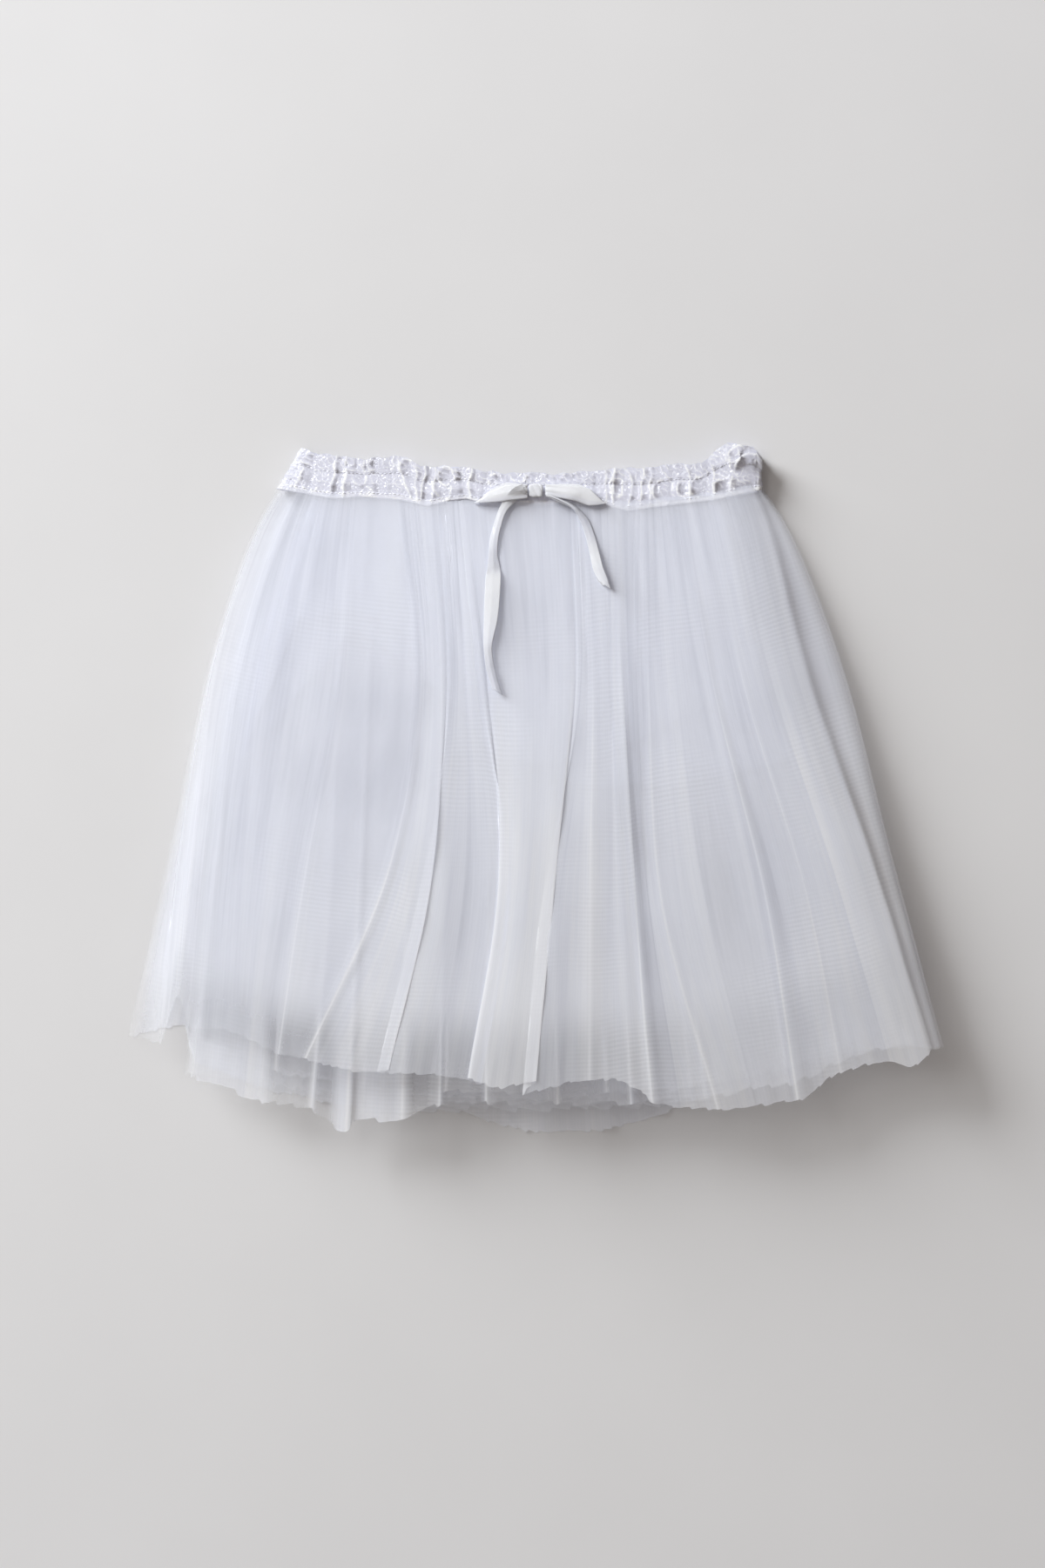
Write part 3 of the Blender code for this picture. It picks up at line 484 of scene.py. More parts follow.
tulleMiddle = {
    "name": "tulle_middle", "net": "middle net",
    "depth": 1, "frontLoft": 7.0, "backLoft": 1.2, "rows": 84, "every": 1.7,
    "flat": (1.0, 0.37), "seed": 23, "cover": 0.52, "tooth": 1.5, "toothEvery": 16.0,
    "pleats": [("broad", 21.0, 1.5, 0.4, 2.4), ("fine", 10.0, 0.5, 0.18, 2.4)],
    "left": (-152, -190, -206, -217), "right": (131, 162, 202, 238),
    "fins": 8, "finWidth": 5.0, "finShift": 6.0,
    "folds": [
        ("shoulder", -146, -183, -199, -210, 0.5),
        ("panel", -130, -150, -165, -178, 0.3),
        ("ridge", -112, -120, -126, -137, 1.0, 4, 0.3, 0.2),
        ("ridge", -96, -103, -109, -116, 1.0, 4, 0.2, 0.2),
        ("ridge", -72, -76, -79, -81, 0.9, 4, 0.2, 0.2),
        ("ridge", -48, -53, -56, -59, 1.0, 4, 0.2, 0.2),
        ("ridge", -24, -27, -29, -30, 0.9, 4, 0.2, 0.2),
        ("ridge", 4, 8, 11, 14, 0.8, 5, 0.2, 0.2),
        ("ridge", 40, 46, 53, 60, 1.0, 4, 0.2, 0.2),
        ("ridge", 62, 76, 90, 104, 0.8, 5, 0.2, 0.2),
        ("ridge", 84, 108, 134, 156, 1.0, 5, 0.2, 0.3),
        ("panel", 104, 134, 166, 196, 0.3),
        ("shoulder", 125, 155, 195, 231, 0.5),
    ],
    "frontHem": [
        (-217, -176), (-162, -195), (-137, -198), (-125, -207), (-116, -211), (-112, -203), (-81, -205),
        (-59, -193), (19, -194), (84, -193), (112, -189), (162, -181), (187, -166), (238, -156),
    ],
    "backHem": [(-217, -168), (-162, -185), (-81, -196), (0, -200), (84, -196), (162, -176), (238, -152)],
    "sheer": [(-217, 0.02), (-168, 0.06), (-161, 0.40), (-128, 0.40), (-120, 0.0), (-80, 0.04), (-74, 0.36),
              (0, 0.38), (100, 0.24), (238, 0.06)],
    "sheerBack": 0.36, "sheerOver": (0.81, 0.09),
}
tulleInner = {
    "name": "tulle_inner", "net": "inner net",
    "depth": 2, "frontLoft": 6.0, "backLoft": 1.2, "rows": 64, "every": 2.1,
    "flat": (0.95, 0.36), "seed": 37, "cover": 0.52, "tooth": 1.2, "toothEvery": 17.0,
    "pleats": [("broad", 27.0, 1.8, 0.6, 2.4), ("fine", 11.0, 0.7, 0.28, 2.4)],
    "left": (-144, -181, -196, -207), "right": (122, 152, 192, 228),
    "fins": 6, "finWidth": 5.0, "finShift": 6.0,
    "folds": [
        ("shoulder", -138, -174, -189, -200, 0.5),
        ("ridge", -112, -138, -152, -160, 1.0, 6, 0.2, 0.2),
        ("ridge", -76, -90, -99, -105, 0.8, 6, 0.2, 0.2),
        ("ridge", -40, -46, -51, -55, 1.0, 6, 0.2, 0.2),
        ("ridge", -8, -8, -7, -6, 0.9, 6, 0.2, 0.2),
        ("ridge", 24, 29, 36, 44, 1.0, 6, 0.2, 0.2),
        ("ridge", 56, 68, 82, 96, 0.8, 6, 0.2, 0.2),
        ("ridge", 88, 108, 134, 156, 1.0, 6, 0.2, 0.2),
        ("shoulder", 116, 145, 185, 221, 0.5),
    ],
    "frontHem": [(-207, -156), (-150, -178), (-80, -186), (0, -188), (80, -187), (160, -172), (228, -148)],
    "backHem": [(-207, -154), (-150, -175), (-80, -190), (0, -194), (80, -190), (160, -168), (228, -148)],
    "sheer": [(-207, 0.2), (-160, 0.34), (0, 0.32), (110, 0.2), (228, 0.1)],
    "sheerBack": 0.36, "sheerOver": (0.82, 0.12),
}
lining = {
    "name": "lining", "depth": 3, "frontLoft": 0.0, "backLoft": 0.0, "rows": 40, "every": 2.4,
    "flat": (0.66, 0.185), "area": 0.098, "seed": 41, "tooth": 0.2, "toothEvery": 15.0,
    "pleats": [("broad", 23.0, 1.0, 0.25, 1.6), ("fine", 11.0, 0.5, 0.2, 1.2)],
    "left": (-136, -157, -172, -181), "right": (113, 127, 141, 160),
    "fins": 4, "finWidth": 0.0, "finShift": 4.0,
    "folds": [
        ("shoulder", -130, -151, -166, -175, 0.5),
        ("panel", -110, -126, -138, -146, 0.9),
        ("panel", -84, -94, -101, -106, 0.3),
        ("panel", -60, -64, -67, -70, 0.2),
        ("panel", -42, -45, -48, -50, 0.8),
        ("panel", -22, -23, -24, -26, 0.8),
        ("panel", 16, 18, 21, 24, 0.4),
        ("panel", 42, 47, 53, 60, 0.9),
        ("panel", 72, 82, 93, 106, 0.2),
        ("shoulder", 107, 121, 135, 154, 0.5),
    ],
    "frontHem": [
        (-181, 20), (-172, 40), (-146, 106), (-84, 110), (-50, 60), (-26, 18), (49, 12), (66, 36), (106, 52),
        (130, 24), (160, 18),
    ],
    "backHem": [
        (-181, 20), (-172, 38), (-146, 98), (-84, 102), (-50, 54), (-26, 10), (20, 2), (60, 0), (120, 4),
        (160, 16),
    ],
    "sheer": [(-181, 0.0), (160, 0.0)], "sheerBack": 0.0, "sheerOver": (0.84, 0.16),
}
netLayers = [tulleOuter, tulleMiddle, tulleInner]


def lapPoints(fold, x, v):
    # the upper panel's edge and its underside, then the tuck and the lower panel; open as a step at the
    # waist
    onLeft = fold["kind"] == "lapLeft"
    high, low = (fold["left"], fold["right"]) if onLeft else (fold["right"], fold["left"])
    pressed = (1 - lie["lapKept"]) * (high - low) / 2
    high, low = high - pressed, low + pressed
    closed = smooth((v - 0.25) / 0.5)
    reach = (-1 if onLeft else 1) * (fold["width"] * closed - lie["lapOpen"] * (1 - closed))
    spread = 0.33 * (1 - closed)
    points = [(0, high, 0), (spread, high, -1), (1 - spread, low, 1), (1, low, 0)]
    points = [(x + part * reach, fold["hem"] + (part * reach)[-1], share, step, 0.0,
               lie["lapEdge"] * (step == 0 and share == high)) for part, share, step in points]
    return points if onLeft else points[::-1]


def frontPoints(layer, v):
    # the folds' columns, left to right: x, hem x, height share, step at a lap, height above the back if
    # low, how sharp the edge is there, and how full the panel to the right looks
    points, before = [], 0.0
    for i, row in enumerate(layer["folds"]):
        fold = dict(zip(foldColumns, row))
        x = downTheSkirt([fold[key] for key in foldColumns[1:5]], v)
        full = layer["fullness"][i] if "fullness" in layer else 0.5 * np.cos(2.3 * i + layer["seed"])
        if fold["kind"] in ("panel", "shoulder"):
            found = [(x, fold["hem"], fold["crest"], 0, 0.0, 0.0)]
        elif fold["kind"] == "flap":
            found = [(x, fold["hem"], 0.0, 0, lie["foldedEdge"] + fold["crest"], 0.0)]
        elif fold["kind"] == "ridge":
            half = fold["width"] * (0.5 + 0.5 * v)
            found = [(x + way * half, fold["hem"] + way * half[-1], share, 0, 0.0, fold["crest"] * (way == 0))
                     for way, share in ((-1, fold["left"]), (0, fold["crest"]), (1, fold["right"]))]
        else:
            found = lapPoints(fold, x, v)
        panels = {1: [full], 3: [before, full, full], 4: [before, before, before, full]}[len(found)]
        points += [(*point, panel) for point, panel in zip(found, panels)]
        before = full
    return points


def backPoints(layer, v):
    # right to left: flats on the surface with a narrow fin between each two
    left, right = downTheSkirt(layer["left"], v), downTheSkirt(layer["right"], v)
    points = []
    for i in range(layer["fins"]):
        share = (i + 1) / (layer["fins"] + 1)
        shift = layer["finShift"] * np.sin(2.4 * i + len(layer["name"])) * (0.4 + 0.6 * v)
        x = right + (left - right) * share + shift
        half = layer["finWidth"] * (0.5 + 0.5 * v)
        tall = 0.7 + 0.3 * np.cos(1.7 * i)
        if layer["finWidth"] == 0:
            points.append((x, 0.0))
            continue
        fin = ((1, 0), (0.45, tall), (-0.45, tall), (-1, 0))
        points += [(x + step * half, height) for step, height in fin]
    return points


def controlRing(layer, v):
    # the folded tube's section at each row, as few points: front left to right, the right side, back, left
    # side
    outerLeft = np.abs(downTheSkirt(tulleOuter["left"], v))
    outerRight = np.abs(downTheSkirt(tulleOuter["right"], v))
    bump = np.maximum(v, 0) / lie["puffAt"] * np.exp(1 - v / lie["puffAt"])
    under = 0.15 if layer is tulleOuter else 0.45
    tall, corner = (lie["liningEdge"], 1.0) if layer is lining else (lie["foldedEdge"], 1.5)

    def column(x, hemX, side):
        x = x + lie["sidePuff"] * bump * np.sign(x) * np.abs(x / np.where(x < 0, outerLeft, outerRight)) ** 6
        top = seamY(x[0]) - under
        return x, top + v * (lookUp(hemX, layer[side + "Hem"]) - top)

    ring, looks = [], []
    for x, hemX, share, step, low, edge, full in frontPoints(layer, v):
        x, y = column(x, hemX, "front")
        height = pleatHeight(layer, "front", x, y)
        z = frontBase(layer, x, y) + (0.5 + lie["foldKept"] * (share - 0.5)) * height
        looks.append((edge, full))
        z = z - np.minimum(lie["lapTip"], 0.40 * height) * (step < 0)
        z = z + np.minimum(lie["lapTuck"], 0.12 * height) * (step > 0)
        if low:
            z = lie["flapKept"] * (backBase(layer, x, y) + low) + (1 - lie["flapKept"]) * z
        ring.append((x, y, z))
    for side, way in (("right", -1), ("left", 1)):
        x, y = column(downTheSkirt(layer[side], v), layer[side][3], "front")
        base = backBase(layer, x, y)
        turn = [(corner, tall), (0, 0.68 * tall), (0, 0.32 * tall), (corner, 0)]
        ring += [(x + way * shift, y, base + height) for shift, height in (turn if way < 0 else turn[::-1])]
        if side == "right":
            for x, share in backPoints(layer, v):
                x, y = column(x, x[-1], "back")
                ring.append((x, y, backBase(layer, x, y) + share * pleatHeight(layer, "back", x, y)))
    looks += [(0.0, 0.0)] * (len(ring) - len(looks))
    return np.stack([np.stack(point, axis=-1) for point in ring], axis=1), np.array(looks)


def fineRing(ring, looks, every, blur):
    # straight stretches cut to one length at the hem, then rounded by a bell-shaped running mean round the
    # ring. An edge fades with the distance from it, and a panel looks equally full from fold to fold
    closed = np.concatenate([ring, ring[:, :1]], axis=1)
    hem, middle = (lengths(np.diff(closed[row], axis=0))[:, 0] for row in (-1, len(closed) // 2))
    length = np.maximum(hem, 0.6 * middle)
    counts = np.maximum(2, np.round(length / every)).astype(int)
    k = np.repeat(np.arange(len(counts)), counts)
    t = np.concatenate([np.arange(n) / n for n in counts])[:, None]
    fine = closed[:, k] * (1 - t) + closed[:, k + 1] * t
    reach = np.arange(-int(3 * blur), int(3 * blur) + 1)
    weights = bell(reach / blur * 0.5 ** 0.5)
    edges, t = np.append(looks[:, 0], looks[0, 0]), t[:, 0]
    near, ahead = (np.exp(-part * length[k] / fades["edgeFade"]) for part in (t, 1 - t))
    edge = np.maximum(edges[k] * near, edges[k + 1] * ahead)
    weights /= weights.sum()
    fine = sum(weight * np.roll(fine, shift, axis=1) for shift, weight in zip(reach, weights))
    return fine, edge, looks[k, 1]


def wayAlong(line):
    # the length of a line of points, up to each of them
    return lengths(np.diff(line, axis=0, prepend=line[:1]))[:, 0].cumsum()


def clothPlaces(points):
    # u is the way round the hem, v the way down each column: the net as it lies flat
    closed = np.concatenate([points, points[:, :1]], axis=1)
    v = lengths(np.diff(closed, axis=0, prepend=closed[:1])).cumsum(axis=0)
    return np.concatenate([np.broadcast_to(wayAlong(closed[-1])[:, None], v.shape), v], axis=-1)


def addPleats(layer, points, v):
    # each pleat is a meander: the cloth slides along itself by a sine and off itself by a cosine, unevenly.
    # Broad pleats run the whole way down, and fine gathers die out below the waistband
    u = clothPlaces(points)[:, :-1, 0]
    down = v[:, None] * lie["skirtDrop"] + 0 * u
    seed = layer["seed"]
    total = u[0, -1] + lengths(points[-1, 0] - points[-1, -1])[0]
    ahead = unit((np.roll(points, -1, axis=1) - np.roll(points, 1, axis=1))[:, :, [0, 2]])
    room = np.clip((points[:, :, 2] - 6.0) / 6.0, 0.12, 1.0)
    moved = points.copy()
    depths = {"broad": 0.55 + 0.45 * smooth(v / 0.5),
              "fine": smooth(v / 0.02) * np.exp(-(np.maximum(v, 0) / 0.16) ** 1.5)}
    for kind, every, slides, rises, turn in layer["pleats"]:
        turns = round(total / every)
        phase = 2 * np.pi * turns * u / total + turn * softNoise(u, 0.25 * down, seed, 6 * every)
        strong = np.clip(0.5 + 0.7 * softNoise(u, 0.12 * down, seed + 1, 4.5 * every), 0.0, 1.0)
        strong = strong * depths[kind][:, None] * room
        slide, rise = slides * np.sin(phase), rises * np.cos(phase)
        moved[:, :, 0] += strong * (ahead[:, :, 0] * slide - ahead[:, :, 1] * rise)
        moved[:, :, 2] += strong * (ahead[:, :, 1] * slide + ahead[:, :, 0] * rise)
        seed += 5
    moved[:, :, 2] += 0.6 * softNoise(u, down, seed + 2, 60.0) * room * smooth(v[:, None] / 0.1)
    ragged = 0.3 * softNoise(u, 0 * u, seed + 3, 5.0) + 0.9 * softNoise(u, 0 * u, seed + 4, 38.0)
    steps = u / layer["toothEvery"] + 0.8 * softNoise(u, 0 * u, seed + 6, 60.0)
    ragged = ragged + layer["tooth"] * (2 * np.mod(steps, 1.0) - 1)
    moved[:, :, 1] += ragged * smooth((v[:, None] - 0.85) / 0.15)
    tuck = smooth(-v[:, None] / lie["tuckAt"])
    moved[:, :, 2] += (lie["tuckMiddle"] - moved[:, :, 2]) * lie["tuckShare"] * tuck
    return moved


def creaseMark(points):
    # how sharply the cloth turns across the skirt, from 0 on a flat to 1 at a pinched edge
    ahead = unit(np.roll(points, -1, axis=1) - points)
    turn = 1 - (ahead * np.roll(ahead, 1, axis=1)).sum(axis=2)
    spread = sum(np.roll(turn, shift, axis=1) for shift in (-2, -1, 0, 1, 2))
    return np.clip(1.2 * spread, 0, 1)


def sheerHem(layer, points, v, edge):
    # the net is see-through near its hem, more so in some places, and less at a sharp edge
    start, over = layer["sheerOver"]
    x, z = points[:, :, 0], points[:, :, 2]
    under = z < backBase(layer, x, points[:, :, 1]) + fades["underHeight"]
    hem = smooth((v - start) / over) * (1 - np.clip(edge, 0, 1))
    return hem * np.where(under, layer["sheerBack"], lookUp(x, layer["sheer"]))


def addSheet(layer, material, slotName):
    # rows of the ring from the waist to the hem, pleated, lifted off the surface, with its marks for the look
    v = np.linspace(-lie["tuck"], 1, layer["rows"])
    points, edge, full = fineRing(*controlRing(layer, v), layer["every"], lie["rounding"])
    places = clothPlaces(points)
    points = addPleats(layer, points, v)
    points[:, :, 2] = np.maximum(points[:, :, 2] + 0.3, 0.25)
    v, x = v[:, None], points[:, :, 0]
    inset = np.minimum(x - x.min(axis=1, keepdims=True), x.max(axis=1, keepdims=True) - x)
    # the edges start further down on the left
    start = np.where(x[-1] < 0, *fades["edgeStart"])
    marks = {
        "crease": creaseMark(points) * smooth(v / fades["creaseOver"]),
        "hem": sheerHem(layer, points, v, edge),
        "side": np.exp(-inset / fades["sideReach"]) * np.where(x < 0, *fades["sideShares"]),
        "edge": edge * smooth((v - start) / fades["edgeOver"]),
        "fullness": full * smooth((v - fades["fullFrom"]) / fades["fullOver"]),
    }
    piece = gridMesh(layer["name"] + "_cloth", points[:, ::-1], places[:, ::-1], around=True,
                     marks={key: mark[:, ::-1] for key, mark in marks.items()})
    softenNormals(piece, netLook["scatter"], netLook["dome"])
    place(piece, slotName, material, layer["name"])
    print("cloth", layer["name"], points.shape, "hem length", round(float(places[-1, -1, 0])), "mm")


for net, below in zip(netLayers, ("tulle_middle", "tulle_inner", "lining")):
    addSheet(net, netMaterial(net["net"], net["cover"]), "tulle")
addSheet(lining, liningMaterial(), "lining")

# the gathered waistband: a flattened ring of satin with an elastic channel below and a frill above
band = {
    "left": (-160.0, -145.0), "right": (141.0, 141.0), "height": 12.6, "end": 4.5, "clear": 0.4,
    "bulge": [(0.00, -1.3), (0.035, -0.5), (0.11, -0.4), (0.17, -0.9), (0.36, 0.0), (0.56, -0.9),
              (0.62, -1.3), (0.68, -0.8), (1.00, -0.6)],
    "edge": [(-145, 210.5), (-135, 207), (-113, 203), (-79, 204), (-70, 198.5), (-45, 199), (-32, 195),
             (9, 193.5), (49, 197), (76, 198.5), (103, 201), (110, 206), (119, 212), (135, 211), (141, 203)],
    "foot": [(-160, 185), (-147, 182.6), (-125, 178.4), (-108, 179.4), (-83, 177.6), (-66, 173.8),
             (-52, 177.2), (-42, 178.5), (-29, 174.6), (42, 174.6), (58, 170.6), (72, 172.8), (110, 177.4),
             (141, 184)],
    # waves of the top edge: number of the noise, wavelength, height. The back has one even wave
    "edgeWaves": [(8, 8.0, 1.0), (9, 21.0, 0.6)], "backMiddle": 0.9, "backWave": 12.5, "backRise": 0.55,
    "backLeast": 0.3,
    "frontColumns": 840, "backColumns": 240, "sideColumns": 26, "rows": 72, "rowStep": 0.35,
    "gather": 7.6, "channelDepth": 0.45, "frillDepth": 0.8, "frillAt": 0.62, "footAt": 0.125, "crumple": 0.75,
    "seamDepth": 0.18, "pucker": 0.16, "puckerEvery": 2.9, "relief": 0.66, "softened": 0.87, "seed": 5,
    # painted highlight and painted shade: where a bend counts as a crest, how much painted highlight crests,
    # the foot, folds, rims and pockets get, how wide a rim's is, and how much painted shade dips, curls and
    # pockets get
    "crestFrom": 0.02, "crestTo": 0.65, "crestWhite": 0.85, "footWhite": 0.75, "foldWhite": 0.45,
    "foldDull": 0.3, "rimWhite": 0.42, "rimWide": 0.8, "curlDull": 0.2, "pocketWhite": 0.50,
    "pocketDull": 0.40,
    # how the ends drop, and the puff at the right end
    "drop": 2.2, "dropPower": 12, "most": 5.6, "puffAt": (127.0, 204.5), "puffHalf": (15.0, 9.0),
    "puffHeight": 3.6, "puffFolds": 0.45, "swirlArms": 3, "swirlTwist": 3.4, "swirlTurn": 0.6, "swirl": 0.7,
}
# main folds across the band, left to right: x at the foot, at the frill's stitching and at the edge, half
# width, height
bandFolds = [
    (-158, -152, -144, 2.08, 1.02), (-154, -148, -141, 1.69, -0.77), (-148, -144, -139, 1.43, 0.85),
    (-141, -137, -135, 2.08, -1.02), (-127, -124, -122, 1.3, 0.94), (-124.5, -121.5, -119.5, 2.21, -1.1),
    (-119, -117, -116, 1.17, 1.02), (-97, -99, -98, 2.08, -0.51), (-75, -83, -84, 1.3, 0.94),
    (-72.5, -74, -73, 1.3, 0.94), (-71, -69, -67.5, 1.04, 0.85), (-69.5, -67, -65, 2.21, -1.1),
    (-64, -62, -61.5, 1.04, 0.85), (-54, -50, -49, 1.56, 0.77), (-44, -46, -48, 2.08, -1.1),
    (-40, -41, -39, 1.3, 0.94), (-33, -31, -30, 1.69, -0.59), (14, 12, 10, 1.56, 0.51),
    (24, 22, 24, 1.56, -0.59), (37, 37.5, 36, 1.82, -0.94), (44, 44, 43, 1.3, 0.85),
    (49, 46.4, 49.5, 1.17, 1.19), (57, 60.5, 55.5, 1.3, 1.1), (65, 66, 67, 1.3, 0.94),
    (71.5, 71, 72, 1.17, 0.85), (84.5, 84, 85, 1.69, -0.68), (95.5, 95.5, 93, 1.17, 0.77),
    (107.5, 107, 107, 1.43, -0.59), (110.5, 110, 109, 1.17, 0.85), (121, 121, 118, 1.3, 0.77),
]
# curls of the crumpled satin: middle, half sizes, lean in degrees, where the rim starts, how far it goes,
# height
bandCurls = [
    (-146.5, 197, 4.5, 3, 50, 0, 330, 0.77), (-151, 189, 3.2, 2.6, 20, 60, 240, 0.68),
    (-139, 186, 4.2, 3, -20, 180, 220, 0.68), (-108.5, 192.5, 4.6, 5.5, 10, 170, 200, 0.94),
    (-101, 199.5, 4.6, 2, 10, 20, 200, 0.59), (-79, 196, 4.6, 7, 4, -25, 230, 0.94),
    (-55, 192.4, 4.6, 5.6, -6, 0, 330, 1.1), (-56.5, 184.5, 7.6, 5, -40, 170, 120, 0.77),
    (-24.5, 190.5, 4.4, 3, 15, 0, 300, 0.68), (-10.5, 192, 5.2, 3, -10, 150, 260, 0.85),
    (-1.5, 192.8, 3.6, 2.4, 25, -30, 220, 0.68), (22, 192.6, 4.2, 2.6, 0, 0, 200, 0.59),
    (51, 186, 2.8, 5.6, 4, 90, 300, 0.68), (60, 178.6, 4, 4.4, 20, 200, 160, 0.59),
    (78.8, 183.4, 6.2, 6.4, 0, 80, 200, 0.68), (91.5, 184.6, 3.8, 4.6, 12, 90, 290, 0.68),
    (101.6, 185.4, 5.6, 6.2, 0, 60, 250, 0.68), (115.4, 185.2, 4.6, 5.6, 4, 80, 230, 0.68),
    (130, 184.6, 8, 5, 8, 180, 200, 0.77), (129.8, 203.2, 11.6, 8.6, 6, 5, 190, 1.19),
    (131.5, 200.6, 7.2, 5.2, 20, -10, 210, 1.02), (126.5, 197.8, 4.6, 3, 60, 30, 200, 0.77),
    (137, 197, 3.6, 5, 0, -60, 200, 0.85),
]
# pockets pressed in between the gathers: middle, half sizes, depth
bandPockets = [
    (-91.0, 191.5, 7.0, 8.0, 0.2), (-104.0, 183.0, 5.4, 3.6, -0.6), (51.2, 185.5, 2.4, 5.0, 0.7),
    (78.8, 183.2, 5.4, 5.8, 0.9), (91.5, 184.4, 3.2, 4.2, 0.7), (101.6, 185.4, 4.8, 5.4, 0.9),
    (115.4, 185.2, 4.0, 5.0, 0.8), (130.0, 184.6, 6.8, 4.2, 0.8), (-141.0, 194.0, 3.6, 6.0, 0.6),
]


def bandNoise(x, y, number, scale):
    # the same slanted waves, with the seed of the band plus a number
    return softNoise(x, y, band["seed"] + number, scale)


def foldAcross(x, y, t, foot, waist, edge, half):
    # how many half widths a place lies from the line of a main fold, bent at the frill's stitching
    middle = np.interp(t, [0, band["frillAt"], 1], [foot, waist, edge])
    return (x - middle + 0.5 * bandNoise(0 * x, y, 7, 9.0)) / half


def curlRim(x, y, centreX, centreY, halfX, halfY, lean, start, sweep):
    # how far out on a curl's leaning ellipse a place lies, and 1 along the part of the rim that stands up
    turn = np.radians(lean)
    a = ((x - centreX) * np.cos(turn) + (y - centreY) * np.sin(turn)) / halfX
    b = ((y - centreY) * np.cos(turn) - (x - centreX) * np.sin(turn)) / halfY
    past = np.mod(np.degrees(np.arctan2(b, a)) - start, 360)
    return np.hypot(a, b), smooth(past / 40) * smooth((sweep - past) / 40)


def pocketReach(x, y, centreX, centreY, halfX, halfY, power):
    # how far out in a pocket a place lies: a superellipse, and more square with a higher power
    return (np.abs((x - centreX) / halfX) ** power + np.abs((y - centreY) / halfY) ** power) ** (1 / power)


def bandPaintedLight(x, y, t):
    # painted highlight in patches along the satin's folds, on the rims of its curls and round its pockets,
    # and painted shade in the folds that dip and inside curls and pockets
    white = 0 * x
    for *line, height in bandFolds:
        way = foldAcross(x, y, t, *line)
        mark = band["foldWhite"] * bell(1.2 * way) if height > 0 else band["foldDull"] * bell(way)
        white = white + mark * height
    for *rim, height in bandCurls:
        reach, standing = curlRim(x, y, *rim)
        line = bell((reach - 1) * min(rim[2:4]) / band["rimWide"])
        white = white + band["rimWhite"] * height * standing * line - band["curlDull"] * bell(reach / 0.7, 4)
    for *pocket, depth in bandPockets:
        reach = pocketReach(x, y, *pocket, 5)
        around = band["pocketWhite"] * bell((reach - 1.12) / 0.2)
        white = white + depth * (around - band["pocketDull"] * bell(reach, 6))
    return white * np.clip(0.6 + 0.7 * bandNoise(x, 1.3 * y, 11, 10.0), 0.05, 1.15)


def bandRelief(x, y, t):
    # uneven gathers, pinched at both lines of stitching, the main folds, curls, pockets and a fine crumple.
    # A curl is a bell-shaped rim on part of a leaning ellipse, and a pocket a flat dent with round corners
    wander = 1.6 * bandNoise(x, 0.6 * y, 0, 34.0) + 0.8 * bandNoise(x, y, 1, 11.0)
    phase = np.pi * x / band["gather"] + wander
    frill, channel = smooth((t - 0.60) / 0.16), smooth((t - 0.12) / 0.12) * smooth((0.64 - t) / 0.14)
    deep = band["channelDepth"] * channel + band["frillDepth"] * frill
    relief = (np.abs(np.sin(phase)) ** 0.8 - 0.5) * deep * (0.65 + 0.7 * bandNoise(x, 0 * y, 2, 52.0))
    for *line, height in bandFolds:
        way = foldAcross(x, y, t, *line)
        relief = relief + height * bell(way, 1.6) * (0.35 + 0.65 * smooth(t / 0.12))
    for *rim, height in bandCurls:
        reach, standing = curlRim(x, y, *rim)
        raised = standing * bell((reach - 1) * min(rim[2:4])) - 0.3 * bell(reach / 0.75, 4)
        relief = relief + height * raised
    for *pocket, depth in bandPockets:
        relief = relief - depth * bell(pocketReach(x, y, *pocket, 4), 6)
    folded = 1 - np.abs(bandNoise(1.6 * x + 2 * relief, 0.9 * y, 3, 6.5)) ** 0.7
    scrunched = 0.30 + 0.5 * frill + 0.9 * bell((x + 148) / 9) + 0.4 * bell((x - 124) / 12)
    relief = relief + band["crumple"] * (folded - 0.5) * scrunched
    # the line below the frill is pulled in unevenly, more so on the right, and the one at the foot evenly
    seam = np.clip(0.2 + 0.3 * bandNoise(x, 0 * y, 8, 70.0), 0, 1) * (0.25 + 0.75 * smooth((x - 20) / 30))
    seam = seam * bell((t - band["frillAt"]) / 0.030) + 0.4 * bell((t - band["footAt"]) / 0.022)
    pucker = np.sin(2 * np.pi * x / band["puckerEvery"] + 1.5 * bandNoise(x, y, 4, 13.0))
    pressed = band["pucker"] * pucker * seam - band["seamDepth"] * seam
    return band["relief"] * (relief * (1 - 0.4 * seam) + pressed)


